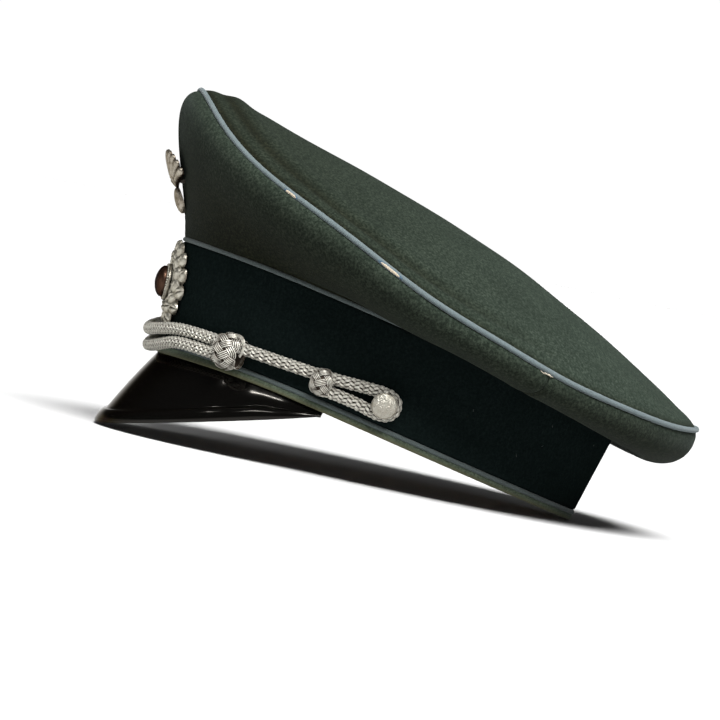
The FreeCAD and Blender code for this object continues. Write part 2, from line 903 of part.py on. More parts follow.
def washer_pad(body, outer, bore, thickness):
    """A disc with a round hole, padded up from the body's own XY plane."""
    sketch = body.newObject("Sketcher::SketchObject", body.Name + "_outline")
    sketch.AttachmentSupport = (origin_plane(body, "XY_Plane"), [""])
    sketch.MapMode = "FlatFace"
    radii = [outer] + ([bore] if bore else [])
    for alias in radii:
        circle = sketch.addGeometry(Part.Circle(Vector(0, 0, 0), Vector(0, 0, 1), dim(alias)), False)
        sketch.addConstraint(Sketcher.Constraint("Coincident", circle, 3, -1, 1))
        index = sketch.addConstraint(Sketcher.Constraint("Radius", circle, dim(alias)))
        sketch.setExpression("Constraints[%d]" % index, "dims." + alias)
    pad = body.newObject("PartDesign::Pad", body.Name + "_pad")
    pad.Profile = sketch
    pad.setExpression("Length", "dims." + thickness)
    body.Label = body.Name
    return pad


def disc(name, frame, outer, bore, thickness):
    body = doc.addObject("PartDesign::Body", name)
    washer_pad(body, outer, bore, thickness)
    body.Placement = frame
    nodes[name] = body
    return body


def cylinder(name, radius, height, z):
    piece = doc.addObject("Part::Cylinder", name)
    piece.setExpression("Radius", radius)
    piece.setExpression("Height", height)
    piece.setExpression(".Placement.Base.z", z)
    return piece


def ball(name, radius, z):
    piece = doc.addObject("Part::Sphere", name)
    piece.setExpression("Radius", radius)
    piece.setExpression(".Placement.Base.z", z)
    return piece


def combine(kind, name, base, tool):
    piece = doc.addObject("Part::" + kind, name)
    piece.Base = base
    piece.Tool = tool
    return piece


def domed_cap(name, frame, radius, rim, rise, skin):
    """A cap pressed from sheet: a straight rim below a shallow dome, hollow inside."""
    curve = "((dims.{r}^2 + dims.{h}^2) / (2 * dims.{h}))".format(r=radius, h=rise)
    top = "(dims.%s + dims.%s)" % (rim, rise)
    outer = combine(
        "Common",
        name + "_outer",
        ball(name + "_dome", curve, "%s - %s" % (top, curve)),
        cylinder(name + "_edge", "dims." + radius, top, "0"),
    )
    if not skin:
        outer.Label = name
        outer.Placement = frame
        nodes[name] = outer
        return
    thick = "dims." + skin
    inner = combine(
        "Common",
        name + "_inner",
        ball(name + "_hollow_dome", "%s - %s" % (curve, thick), "%s - %s" % (top, curve)),
        cylinder(name + "_hollow_edge", "dims.%s - %s" % (radius, thick), top + " + 1", "-1"),
    )
    shell = combine("Cut", name, outer, inner)
    shell.Label = name
    shell.Placement = frame
    nodes[name] = shell


def make_buttons():
    neck = dim("button_neck_height")
    for side, sign in sides():
        frame = button_frame(sign)
        plate = "%s_button_back" % side
        shell = "%s_button_shell" % side
        domed_cap(shell, moved(frame, z=neck), "button_radius", "button_rim", "button_rise", "button_skin")
        stem = cylinder(plate + "_neck", "dims.button_neck_radius", "dims.button_neck_height - 0.2", "0.2")
        thickness = "dims.button_plate_thickness"
        lid = cylinder(plate + "_lid", "dims.button_plate_radius", thickness, "dims.button_neck_height")
        back = combine("Fuse", plate, stem, lid)
        back.Label = plate
        back.Placement = frame
        nodes[plate] = back
        prongs("%s_button_prongs" % side, [frame], 0.15, behind_band() - 0.7)
        washer = moved(frame, z=behind_band() - 0.6)
        disc("%s_button_washer" % side, washer, "washer_radius", "washer_bore", "washer_thickness")


def prongs(name, frames, start, bend):
    """Pairs of flat legs, pushed through the cloth and bent apart behind it."""
    width = dim("prong_width")
    thick = dim("prong_thickness")
    legs = []
    for frame in frames:
        for way in (1, -1):
            side = 0.1 if way > 0 else -0.1 - thick
            leg = Part.makeBox(thick, width, start - bend, Vector(side, -width / 2, bend))
            bent = Part.makeBox(dim("prong_bent_length"), width, thick, Vector(0.1, -width / 2, bend - thick))
            if way < 0:
                bent = bent.mirror(Vector(0, 0, 0), Vector(1, 0, 0))
            solid = leg.fuse(bent).removeSplitter()
            solid.Placement = frame.multiply(solid.Placement)
            legs.append(solid)
    add_shape(name, Part.makeCompound(legs))


# ---------------------------------------------------------------- badges


def bent_plate(frame, outline, thickness, radius, out):
    """A flat outline pressed round an upright cylinder, so that it hugs the front of the cap."""
    prism = Part.Face(outline).extrude(Vector(0, 0, 60))
    prism.translate(Vector(0, 0, -30))
    axis_at = Vector(0, -60, out - radius)
    ring = Part.makeCylinder(radius + thickness, 120, axis_at, Vector(0, 1, 0))
    ring = ring.cut(Part.makeCylinder(radius, 120, axis_at, Vector(0, 1, 0)))
    plate = prism.common(ring)
    plate = max(plate.Solids, key=lambda solid: solid.CenterOfMass.z)
    plate.Placement = frame.multiply(plate.Placement)
    return plate


def scalloped(count, first, last, reach, swell):
    """Arcs, one for each lobe, through tips that lie reach(angle) from the centre."""
    arcs = []
    for index in range(count):
        ends = [first + (last - first) * (index + step) / count for step in (0.0, 0.5, 1.0)]
        radii = [reach(ends[0]), reach(ends[1]) + swell, reach(ends[2])]
        arcs.append(Part.Arc(*[Vector(r * cosine(a), r * sine(a), 0) for r, a in zip(radii, ends)]).toShape())
    return arcs


def make_fan_badge():
    """Shell-shaped fan of nine ribs above a smooth round boss."""
    half_width = dim("fan_half_width")
    boss = 6.5
    rim = scalloped(9, 20, 160, lambda angle: half_width - 2.0 * sine(angle) ** 2, 1.4)
    right = rim[0].Vertexes[0].Point
    left = rim[-1].Vertexes[-1].Point
    foot = Part.Arc(left, Vector(0, -2 * boss, 0), right).toShape()
    outline = Part.Wire(rim + [foot])
    lean = FreeCAD.Placement(Vector(), FreeCAD.Rotation(Vector(1, 0, 0), dim("fan_lean")))
    frame = moved(moved(fan_frame(), y=-3.0 - 2 * boss).multiply(lean), y=2 * boss)
    plate = bent_plate(frame, outline, dim("badge_thickness"), dim("fan_bend_radius"), 0.6)
    add_shape("fan_badge", plate)
    prongs("fan_badge_prongs", crown_fixings, 2.0, behind_crown_front() - 0.8)


def make_wreath():
    """Two curved sprays of plain lobed leaves round a round eye."""
    half_width = dim("wreath_half_width")
    half_height = dim("wreath_half_height")

    def reach(angle):
        return 1 / math.hypot(cosine(angle) / half_width, sine(angle) / half_height) - 1.5

    outline = Part.Wire(scalloped(16, 90, 450, reach, 1.5))
    plate = bent_plate(wreath_frame(), outline, dim("wreath_thickness"), dim("wreath_bend_radius"), 0.35)
    add_shape("wreath", drill(plate, [wreath_frame()], dim("wreath_eye_radius"), 20.0))
    prongs("wreath_prongs", wreath_fixings, 0.2, behind_band() - 0.7)


def make_roundel():
    """Plain domed boss in a beaded ring, held by its own prongs through the wreath's eye."""
    out = 0.4 + dim("wreath_thickness")
    base = moved(wreath_frame(), z=out)
    disc("roundel_base", base, "roundel_radius", None, "roundel_base_thickness")
    on_base = moved(base, z=dim("roundel_base_thickness"))
    domed_cap("roundel_dome", on_base, "roundel_dome_radius", "roundel_dome_rim", "roundel_dome_rise", None)
    prongs("roundel_prongs", [wreath_frame()], out - 0.05, behind_band() - 0.7)


# ---------------------------------------------------------------- build


make_crown_top_panel()
make_crown_side_panels()
make_crown_piping()
make_crown_wire()
make_crown_roll()
make_front_stiffener()
make_cap_band()
make_band_pipings()
make_edge_binding()
make_band_stiffener()
make_sweatband()
make_lining()
make_lining_shield()
make_visor()
make_chin_cords()
make_large_knots()
make_small_knots()
make_buttons()
make_fan_badge()
make_wreath()
make_roundel()
doc.recompute()

# ---------------------------------------------------------------- stand it on the table

# The cap rests on the visor's rim and on the back of the binding: the head frame is turned about X
# until both touch, and then shifted so that the box around the cap stands centred on the origin.
rest = FreeCAD.Placement(Vector(0, 0, 0), FreeCAD.Rotation(Vector(1, 0, 0), -dim("rest_tilt")))
for node in nodes.values():
    node.Placement = rest.multiply(node.Placement)
doc.recompute()
box = FreeCAD.BoundBox()
for node in nodes.values():
    box.add(node.Shape.optimalBoundingBox(False, False))
shift = FreeCAD.Placement(Vector(-box.Center.x, -box.Center.y, -box.ZMin), FreeCAD.Rotation())
for node in nodes.values():
    node.Placement = shift.multiply(node.Placement)
rest = shift.multiply(rest)
doc.recompute()

# ---------------------------------------------------------------- check and write

for item in doc.Objects:
    if "Invalid" in item.State or "Error" in item.State:
        raise RuntimeError("%s did not build: %s" % (item.Name, item.State))
for name, node in nodes.items():
    shape = node.Shape
    if shape.isNull() or not shape.isValid() or shape.Volume <= 0:
        raise RuntimeError("%s has no valid solid" % name)
    print("%-26s %d solid(s)  %9.1f mm3" % (name, len(shape.Solids), shape.Volume))
    shape.exportStep("parts/%s.step" % name)
print("box %.1f x %.1f x %.1f mm, %d nodes" % (box.XLength, box.YLength, box.ZLength, len(nodes)))
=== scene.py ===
import json
import math

import bpy
import numpy as np
from mathutils import Matrix, Vector


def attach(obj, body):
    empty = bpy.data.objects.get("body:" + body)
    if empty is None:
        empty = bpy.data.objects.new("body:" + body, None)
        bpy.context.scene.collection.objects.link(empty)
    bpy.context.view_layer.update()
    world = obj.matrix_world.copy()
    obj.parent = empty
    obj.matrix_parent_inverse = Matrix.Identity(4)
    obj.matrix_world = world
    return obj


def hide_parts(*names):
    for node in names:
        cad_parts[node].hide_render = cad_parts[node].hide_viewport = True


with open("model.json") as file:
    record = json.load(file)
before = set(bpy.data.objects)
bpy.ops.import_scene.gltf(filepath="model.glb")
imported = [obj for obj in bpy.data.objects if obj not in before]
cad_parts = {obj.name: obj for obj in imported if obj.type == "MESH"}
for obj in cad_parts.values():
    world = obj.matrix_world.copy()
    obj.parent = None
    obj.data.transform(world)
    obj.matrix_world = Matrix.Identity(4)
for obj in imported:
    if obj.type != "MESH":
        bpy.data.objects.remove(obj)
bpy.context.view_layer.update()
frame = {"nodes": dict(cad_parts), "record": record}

# Looks of the peaked cap. Shapes are worked out in the cap's own head frame, in millimetres: the
# band's lower edge is the plane z = 0, the front is -Y, the wearer's left is +X, and angles run in
# degrees from the centre front (0) through the left (90) to the back (180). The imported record's
# head_opening mount says where that frame lies in the row frame, in metres.

MM = 0.001
OPENING_BELOW_BAND = 3.0


def head_frame():
    """Rotation and origin that carry head frame millimetres to the row frame's metres."""
    mount = next(m for m in frame["record"]["mounts"] if m["name"] == "head_opening")
    up = -Vector(mount["axis"]).normalized()
    right = Vector((1, 0, 0))
    turn = np.array([right, up.cross(right), up]).T
    origin = np.array(mount["pos_m"]) + np.array(up) * OPENING_BELOW_BAND * MM
    return turn, origin


HEAD_TURN, HEAD_ORIGIN = head_frame()


def to_row(points):
    return np.asarray(points, float) @ HEAD_TURN.T * MM + HEAD_ORIGIN


# ------------------------------ the cap's surfaces

BAND_HALF_WIDTH = 85.0
BAND_HALF_LENGTH = 104.5
BAND_HEIGHT = 46.5
CROWN_HALF_WIDTH = 126.0
CROWN_HALF_LENGTH = 138.4
CROWN_SET_BACK = 3.0
BAND_PIPING = 1.2
CROWN_PIPING = 1.3
SEAM_GAP = 0.15
EDGE_TUCK = 0.5
CENTRE_RING = 0.004
WOOL = 1.5
SIDE_SEAM = 110.0
RIDGE_Y = [-150.0, -131.0, -105.0, -54.0, -19.5, 24.0, 65.0, 91.0, 124.0, 150.0]
RIDGE_Z = [112.6, 112.4, 110.8, 106.5, 102.4, 96.2, 85.8, 78.5, 67.5, 60.0]
TOP_SIDE_DROP = 36.8
TOP_BROW_DROP = 41.0
TOP_EDGE_ROLL = 3.2
BAND_FOOT_DIP = 5.0
BAND_HEAD_DIP = 3.3

# Triples give a value at the cap's front, sides and back.
BAND_LEAN = (10.5, 3.5, 3.5)
SIDE_FOOT_PROUD = (0.0, 0.3, 0.95)
FOOT_POLE_OUT = (7.0, 8.0, 4.5)
FOOT_POLE_UP = (22.0, -6.0, -20.5)
EDGE_POLE_OUT = (17.0, 9.0, 8.6)
EDGE_POLE_UP = (-8.0, -17.0, -24.0)


def cos_d(angle):
    return np.cos(np.radians(angle))


def sin_d(angle):
    return np.sin(np.radians(angle))


def around(front, side, back, angle):
    toward_front = np.maximum(0, cos_d(angle)) ** 2
    toward_back = np.maximum(0, -cos_d(angle)) ** 2
    return side + (front - side) * toward_front + (back - side) * toward_back


def xyz(x, y, z):
    return np.stack(np.broadcast_arrays(x, y, z), -1).astype(float)


def unit(vectors):
    return vectors / np.linalg.norm(vectors, axis=-1, keepdims=True)


def scaled(vectors, amounts):
    return vectors * np.asarray(amounts, float)[..., None]


def bell(distance, width):
    """1 at no distance, falling smoothly to almost nothing at two widths."""
    return np.exp(-((distance / width) ** 2))


def out_and_back(front, back):
    """Closed sections: along the front and back again along the back."""
    return np.concatenate([front, back[:, ::-1]], 1)


UP = np.array([0.0, 0.0, 1.0])


def band_foot(angle):
    return -BAND_FOOT_DIP * np.maximum(0, cos_d(angle)) ** 4


def band_head(angle):
    return BAND_HEIGHT - BAND_HEAD_DIP * np.maximum(0, cos_d(angle)) ** 4


def band_lean(angle):
    return around(*BAND_LEAN, angle) / BAND_HEIGHT


def oval_normal(angle, half_width, half_length):
    return unit(xyz(sin_d(angle) / half_width, -cos_d(angle) / half_length, 0))


def band_normal(angle):
    return oval_normal(angle, BAND_HALF_WIDTH, BAND_HALF_LENGTH)


def band_point(angle, height, out=0.0):
    foot = xyz(BAND_HALF_WIDTH * sin_d(angle), -BAND_HALF_LENGTH * cos_d(angle), height)
    return foot + scaled(band_normal(angle), band_lean(angle) * height + out)


class Spot:
    """A place on the cap: local Z points out of it and local Y upwards."""

    def __init__(self, origin, along, upward, outward):
        self.origin = np.asarray(origin, float)
        self.axes = np.array([along, upward, outward], float)

    def at(self, points):
        return self.origin + np.asarray(points, float) @ self.axes

    def place(self, parts):
        """The same parts, moved here from the spot's own axes."""
        return [(self.at(points), faces, values) for points, faces, values in parts]


def band_spot(angle, height, out=0.0):
    normal = band_normal(angle)
    outward = unit(normal - UP * band_lean(angle))
    along = unit(np.cross(UP, normal))
    return Spot(band_point(angle, height, out), along, np.cross(outward, along), outward)


def smooth_through(xs, ys, at):
    xs = np.array(xs)
    ys = np.array(ys)
    slopes = np.gradient(ys, xs)
    slopes[1:-1] = (ys[2:] - ys[:-2]) / (xs[2:] - xs[:-2])
    index = np.clip(np.searchsorted(xs, at) - 1, 0, len(xs) - 2)
    width = xs[index + 1] - xs[index]
    u = (at - xs[index]) / width
    rise = (2 * u - 3) * u * u
    value = ys[index] * (1 + rise) - ys[index + 1] * rise
    return value + (u - 1) ** 2 * u * width * slopes[index] + (u - 1) * u * u * width * slopes[index + 1]


def top_height(x, y, roll=True):
    across = x / CROWN_HALF_WIDTH
    brow = np.maximum(0, (-y - 30.0) / 100.0) ** 3
    height = smooth_through(RIDGE_Y, RIDGE_Z, y) - (TOP_SIDE_DROP + TOP_BROW_DROP * brow) * across**2
    if roll:
        reach = np.hypot(across, (y - CROWN_SET_BACK) / CROWN_HALF_LENGTH)
        height = height - TOP_EDGE_ROLL * reach**12
    return height


def crown_plan(angle, scale=1.0):
    x = scale * CROWN_HALF_WIDTH * sin_d(angle)
    y = CROWN_SET_BACK - scale * CROWN_HALF_LENGTH * cos_d(angle)
    return x, y


def crown_edge(angle):
    x, y = crown_plan(angle)
    return xyz(x, y, top_height(x, y))


def crown_normal(angle):
    return oval_normal(angle, CROWN_HALF_WIDTH, CROWN_HALF_LENGTH)


def side_curve(angle):
    above_piping = band_head(angle) + BAND_PIPING + SEAM_GAP
    foot = band_point(angle, above_piping, around(*SIDE_FOOT_PROUD, angle))
    edge = crown_edge(angle)
    foot_pole = foot + scaled(band_normal(angle), around(*FOOT_POLE_OUT, angle))
    foot_pole = foot_pole + scaled(UP, around(*FOOT_POLE_UP, angle))
    edge_pole = edge + scaled(crown_normal(angle), around(*EDGE_POLE_OUT, angle))
    edge_pole = edge_pole + scaled(UP, around(*EDGE_POLE_UP, angle))
    return foot, foot_pole, edge_pole, edge


def side_point(angle, along, inset=0.0):
    """A point on the crown's side: along is 0 at the band and 1 at the crown's edge."""
    foot, foot_pole, edge_pole, edge = side_curve(angle)
    rest = 1 - along
    point = scaled(foot, rest**3) + scaled(foot_pole, 3 * rest**2 * along)
    point = point + scaled(edge_pole, 3 * rest * along**2) + scaled(edge, along**3)
    slope = scaled(foot_pole - foot, rest**2) + scaled(edge_pole - foot_pole, 2 * rest * along)
    slope = slope + scaled(edge - edge_pole, along**2)
    inward = unit(np.cross(slope, np.cross(UP, crown_normal(angle))))
    return point + scaled(inward, inset)


def ripple(points, wavelength, seed, waves=7):
    """Smooth unevenness from -1 to 1: a sum of waves in seeded directions."""
    draw = np.random.default_rng(seed)
    total = np.zeros(np.asarray(points).shape[:-1])
    for _ in range(waves):
        direction = unit(draw.normal(size=3))
        length = wavelength * draw.uniform(0.7, 1.6)
        total += np.sin(np.asarray(points) @ direction * (2 * math.pi / length) + draw.uniform(0, 6.28))
    return total / math.sqrt(waves) / 1.6


# ------------------------------ materials


class Shader:
    """A short way to write a Principled material's nodes."""

    def __init__(self, name):
        self.material = bpy.data.materials.new(name)
        self.material.use_nodes = True
        self.nodes = self.material.node_tree.nodes
        self.links = self.material.node_tree.links
        self.surface = self.nodes["Principled BSDF"]
        self.place = self.nodes.new("ShaderNodeTexCoord").outputs["Object"]

    def node(self, kind, inputs=None, **settings):
        made = self.nodes.new("ShaderNode" + kind)
        for key, value in settings.items():
            setattr(made, key, value)
        for key, value in (inputs or {}).items():
            self.feed(made.inputs[key], value)
        return made

    def feed(self, socket, value):
        """Links another node's output to the socket, or sets the socket's own value."""
        if isinstance(value, bpy.types.NodeSocket):
            self.links.new(value, socket)
        elif socket.type == "RGBA":
            socket.default_value = (*value[:3], 1.0)
        else:
            socket.default_value = value

    def stretched(self, x, y, z):
        return self.node("Mapping", {"Vector": self.place, "Scale": (x, y, z)}).outputs[0]

    def noise(self, size, detail=3.0, rough=0.55, place=None):
        """Noise whose features are about size millimetres across."""
        inputs = {"Vector": place or self.place, "Scale": 1 / (size * MM)}
        return self.node("TexNoise", {**inputs, "Detail": detail, "Roughness": rough}).outputs["Fac"]

    def cells(self, size, feature="F1"):
        made = self.node("TexVoronoi", {"Vector": self.place, "Scale": 1 / (size * MM)}, feature=feature)
        return made.outputs["Distance"]

    def stripes(self, size, direction="DIAGONAL", waver=0.0, place=None):
        inputs = {"Vector": place or self.place, "Scale": 0.314 / (size * MM), "Distortion": waver}
        return self.node("TexWave", inputs, bands_direction=direction).outputs["Fac"]

    def attribute(self, name):
        return self.node("Attribute", attribute_name=name).outputs["Fac"]

    def ramp(self, value, low, high, start=0.0, stop=1.0):
        inputs = {"Value": value, "From Min": low, "From Max": high, "To Min": start, "To Max": stop}
        return self.node("MapRange", inputs, interpolation_type="SMOOTHSTEP").outputs["Result"]

    def math(self, operation, first, second=0.5):
        return self.node("Math", {0: first, 1: second}, operation=operation).outputs[0]

    def mix(self, share, first, second, blend="MIX"):
        """A blend of two colours. In Blender's Mix node they are inputs 6 and 7, and output 2."""
        inputs = {0: share, 6: first, 7: second}
        return self.node("Mix", inputs, data_type="RGBA", blend_type=blend).outputs[2]

    def bump(self, height, depth, strength=1.0):
        """Raises the surface by up to depth millimetres."""
        earlier = self.surface.inputs["Normal"].links
        inputs = {"Height": height, "Distance": depth * MM, "Strength": strength}
        if earlier:
            inputs["Normal"] = earlier[0].from_socket
        self.links.new(self.node("Bump", inputs).outputs[0], self.surface.inputs["Normal"])

    def set(self, **values):
        """Sets or links inputs of the surface, such as Base_Color."""
        for key, value in values.items():
            self.feed(self.surface.inputs[key.replace("_", " ")], value)


def felt(name, dark, middle, light, nap=0.30, sheen=0.10, gloss=0.08, painted_shade_tint=None):
    """Milled wool: fibres too fine to count, in a melange of three shades. Where the low attribute is 1 the
    colour is multiplied by a dark brown tint: painted shade.
    """
    shader = Shader(name)
    fibres = shader.noise(0.42, 4.0, 0.75)
    tufts = shader.noise(1.3, 4.0, 0.7)
    patches = shader.noise(24.0, 3.0, 0.5)
    melange = shader.mix(shader.ramp(fibres, 0.40, 0.60), dark, middle)
    tufted = shader.mix(shader.ramp(tufts, 0.40, 0.72), melange, light)
    worn = shader.mix(shader.ramp(patches, 0.35, 0.75, 0.0, 0.25), tufted, dark)
    if painted_shade_tint:
        # Painted shade: the low attribute darkens and browns the cloth where the crown lies in shade. From
        # here on, worn holds this painted shade as well as the worn patches.
        worn = shader.mix(shader.attribute("low"), worn, painted_shade_tint, "MULTIPLY")
    shader.set(Base_Color=worn, Roughness=0.95, Specular_IOR_Level=gloss)
    shader.set(Sheen_Weight=sheen, Sheen_Roughness=0.5, Sheen_Tint=(0.5, 0.62, 0.58))
    shader.bump(tufts, nap, 0.6)
    shader.bump(fibres, nap * 0.6, 0.7)
    return shader


def crown_wool():
    shades = ((0.0055, 0.0088, 0.0060), (0.0180, 0.0262, 0.0190), (0.0400, 0.0535, 0.0400))
    # The last tuple below is the painted shade tint: a dark brown that multiplies the wool where it lies in
    # shade.
    return felt("crown_wool", *shades, sheen=0.04, gloss=0.05, painted_shade_tint=(0.37, 0.30, 0.21)).material


def band_cloth():
    shades = ((0.0026, 0.0044, 0.0042), (0.0046, 0.0078, 0.0074), (0.0066, 0.0106, 0.0100))
    shader = felt("band_cloth", *shades, nap=0.16, sheen=0.0, gloss=0.0)
    shader.bump(shader.stripes(0.7, "Z", 1.5), 0.04, 0.4)
    return shader.material


def binding_cloth():
    """The crown's cloth, browned by handling towards its lower edge."""
    shades = ((0.026, 0.034, 0.023), (0.056, 0.074, 0.050), (0.090, 0.112, 0.078))
    shader = felt("binding_cloth", *shades, nap=0.22)
    before = shader.surface.inputs["Base Color"].links[0].from_socket
    soiled = shader.ramp(shader.attribute("soil"), 0.25, 1.0, 0.0, 0.75)
    shader.set(Base_Color=shader.mix(soiled, before, (0.078, 0.072, 0.038)))
    return shader.material


def piping_cloth(name, dark, light):
    """Fine twill drawn round a cord; where wear is 1 its nap is gone and the pale core shows."""
    shader = Shader(name)
    fibres = shader.noise(0.35, 4.0, 0.7)
    patches = shader.noise(6.0, 4.0, 0.6)
    twill = shader.stripes(0.55, "DIAGONAL", 2.0)
    cloth = shader.mix(shader.ramp(fibres, 0.3, 0.7), dark, light)
    cloth = shader.mix(shader.ramp(patches, 0.45, 0.8, 0.0, 0.45), cloth, dark)
    wear = shader.math("ADD", shader.attribute("wear"), shader.ramp(fibres, 0.3, 0.7, -0.14, 0.14))
    faded = shader.mix(shader.ramp(wear, 0.12, 0.40), cloth, (0.055, 0.095, 0.135))
    shader.set(Base_Color=shader.mix(shader.ramp(wear, 0.52, 0.62), faded, (0.44, 0.38, 0.29)))
    shader.set(Roughness=0.92, Sheen_Weight=0.1, Sheen_Roughness=0.5, Specular_IOR_Level=0.1)
    shader.bump(twill, 0.10, 0.6)
    shader.bump(fibres, 0.14, 0.7)
    return shader.material


def visor_lacquer():
    """Black lacquer over fibre board: deep gloss, slightly uneven, with hairline scratches."""
    shader = Shader("visor_lacquer")
    scratches = shader.noise(0.5, 2.0, 0.5, shader.stretched(0.06, 0.06, 1.0))
    shader.set(Base_Color=(0.022, 0.021, 0.019), Metallic=0.95, Specular_Tint=(0.42, 0.40, 0.37))
    shader.set(Roughness=shader.ramp(shader.noise(14.0, 4.0, 0.7), 0.3, 0.8, 0.07, 0.13))
    shader.bump(shader.noise(9.0, 2.0, 0.4), 0.10, 0.30)
    shader.bump(scratches, 0.02, 0.15)
    return shader.material


def visor_underside():
    shader = Shader("visor_underside")
    grid = shader.math("MULTIPLY", shader.stripes(1.6, "X"), shader.stripes(1.6, "Y"))
    shader.set(Base_Color=shader.mix(shader.noise(12.0, 4.0), (0.020, 0.026, 0.018), (0.036, 0.042, 0.028)))
    shader.set(Roughness=0.5, Coat_Weight=0.2, Coat_Roughness=0.3)
    shader.bump(grid, 0.12, 0.6)
    return shader.material


def silver_braid():
    """Drawn silver wire over a cotton core. hollow is 1 in the gaps, where brown tarnish gathers."""
    shader = Shader("silver_braid")
    hollow = shader.attribute("hollow")
    spots = shader.noise(1.4, 4.0, 0.7)
    wires = shader.math("SINE", shader.math("MULTIPLY", shader.attribute("across"), 12.6), 0.0)
    tint = shader.mix(shader.ramp(spots, 0.35, 0.75), (0.74, 0.725, 0.655), (0.50, 0.475, 0.41))
    between = shader.ramp(wires, -1.0, -0.2, 0.30, 0.0)
    stained = shader.ramp(spots, 0.45, 0.8, 0.0, 0.3)
    tarnish = shader.math("ADD", shader.math("ADD", hollow, between), stained)
    metal = shader.mix(shader.ramp(tarnish, 0.30, 1.05), tint, (0.045, 0.030, 0.018))
    shader.set(Base_Color=metal, Specular_Tint=metal, Metallic=0.80)
    shader.set(Roughness=shader.ramp(tarnish, 0.2, 1.0, 0.46, 0.70))
    shader.bump(wires, 0.10, 0.9)
    shader.bump(spots, 0.04, 0.5)
    return shader.material


# The cotton core under the cords' strands and the knots' wires. It is a real part, but its near-black colour
# is painted shade for the gaps between the strands.
def core_in_painted_shade():
    shader = Shader("core_in_painted_shade")
    shader.set(Base_Color=shader.mix(shader.noise(0.6), (0.020, 0.012, 0.007), (0.050, 0.034, 0.021)))
    shader.set(Roughness=0.9)
    shader.bump(shader.noise(0.4), 0.2)
    return shader.material


def old_silver(name, pale, dark, tarnish, pebbles=0.0):
    """Stamped white metal with brown tarnish in its hollows, read from the hollow attribute."""
    shader = Shader(name)
    cloudy = shader.noise(3.0, 5.0, 0.65)
    fine = shader.noise(0.35, 3.0, 0.6)
    hollow = shader.attribute("hollow")
    metal = shader.mix(shader.ramp(cloudy, 0.3, 0.7), pale, dark)
    amount = shader.math("ADD", hollow, shader.ramp(cloudy, 0.5, 0.8, 0.0, 0.3))
    worn = shader.mix(shader.ramp(amount, 0.25, 1.0), metal, tarnish)
    shader.set(Base_Color=worn, Specular_Tint=worn, Metallic=0.9)
    shader.set(Roughness=shader.ramp(cloudy, 0.25, 0.8, 0.28, 0.55))
    if pebbles:
        shader.bump(shader.ramp(shader.cells(pebbles), 0.0, 0.75, 1.0, 0.0), 0.24, 1.0)
    shader.bump(fine, 0.03, 0.5)
    return shader.material


def leather():
    shader = Shader("sweatband_leather")
    grain = shader.cells(0.9, "DISTANCE_TO_EDGE")
    stains = shader.noise(18.0, 5.0, 0.65)
    hide = shader.mix(shader.ramp(stains, 0.3, 0.75), (0.26, 0.13, 0.060), (0.11, 0.050, 0.024))
    shader.set(Base_Color=hide, Roughness=shader.ramp(stains, 0.3, 0.8, 0.38, 0.6))
    shader.bump(grain, 0.10, 0.5)
    shader.bump(shader.noise(6.0), 0.4, 0.3)
    return shader.material


def lining_satin():
    shader = Shader("lining_satin")
    threads = shader.stripes(0.35, "X", 0.6)
    slubs = shader.noise(0.6, 3.0, 0.6, shader.stretched(1.0, 0.08, 1.0))
    patches = shader.noise(20.0, 4.0, 0.6)
    cloth = shader.mix(shader.ramp(slubs, 0.3, 0.7), (0.20, 0.145, 0.085), (0.30, 0.225, 0.140))
    worn = shader.mix(shader.ramp(patches, 0.35, 0.75, 0.0, 0.5), cloth, (0.15, 0.105, 0.060))
    shader.set(Base_Color=worn, Roughness=0.42, Sheen_Weight=0.3, Anisotropic=0.4)
    shader.bump(threads, 0.04, 0.6)
    return shader.material


def clear_film():
    shader = Shader("clear_film")
    shader.set(Base_Color=shader.mix(shader.noise(12.0), (0.62, 0.46, 0.25), (0.75, 0.62, 0.40)))
    shader.set(Roughness=0.18, Alpha=0.38, Coat_Weight=0.3)
    shader.bump(shader.noise(16.0, 2.0), 0.6, 0.5)
    return shader.material


def plain(name, colour, second, size=2.0, rough=0.8, metal=0.0, depth=0.1):
    """A material for small or hidden pieces: two close shades and a fine bump."""
    shader = Shader(name)
    spots = shader.noise(size, 4.0, 0.6)
    shader.set(Base_Color=shader.mix(spots, colour, second), Roughness=rough, Metallic=metal)
    shader.bump(spots, depth, 0.5)
    return shader.material


# ------------------------------ mesh helpers


def mesh_object(name, points, faces, material, values=None, smooth_below=50.0, raw=False):
    """An object from points in the head frame and a list of faces, with named point values."""
    data = bpy.data.meshes.new(name)
    placed = points if raw else to_row(points)
    data.from_pydata(placed.tolist(), [], [list(map(int, face)) for face in faces])
    for key, numbers in (values or {}).items():
        layer = data.attributes.new(key, "FLOAT", "POINT")
        layer.data.foreach_set("value", np.asarray(numbers, np.float32).ravel())
    data.validate()
    data.polygons.foreach_set("use_smooth", [True] * len(data.polygons))
    data.set_sharp_from_angle(angle=math.radians(smooth_below))
    data.materials.append(material)
    made = bpy.data.objects.new(name, data)
    bpy.context.scene.collection.objects.link(made)
    return made


def grid_faces(rows, columns, wrap_rows, wrap_columns, offset=0):
    row = np.arange(rows if wrap_rows else rows - 1)[:, None]
    column = np.arange(columns if wrap_columns else columns - 1)[None, :]
    next_row = (row + 1) % rows
    next_column = (column + 1) % columns
    corners = (
        row * columns + column,
        next_row * columns + column,
        next_row * columns + next_column,
        row * columns + next_column,
    )
    return np.stack(np.broadcast_arrays(*corners), -1).reshape(-1, 4) + offset


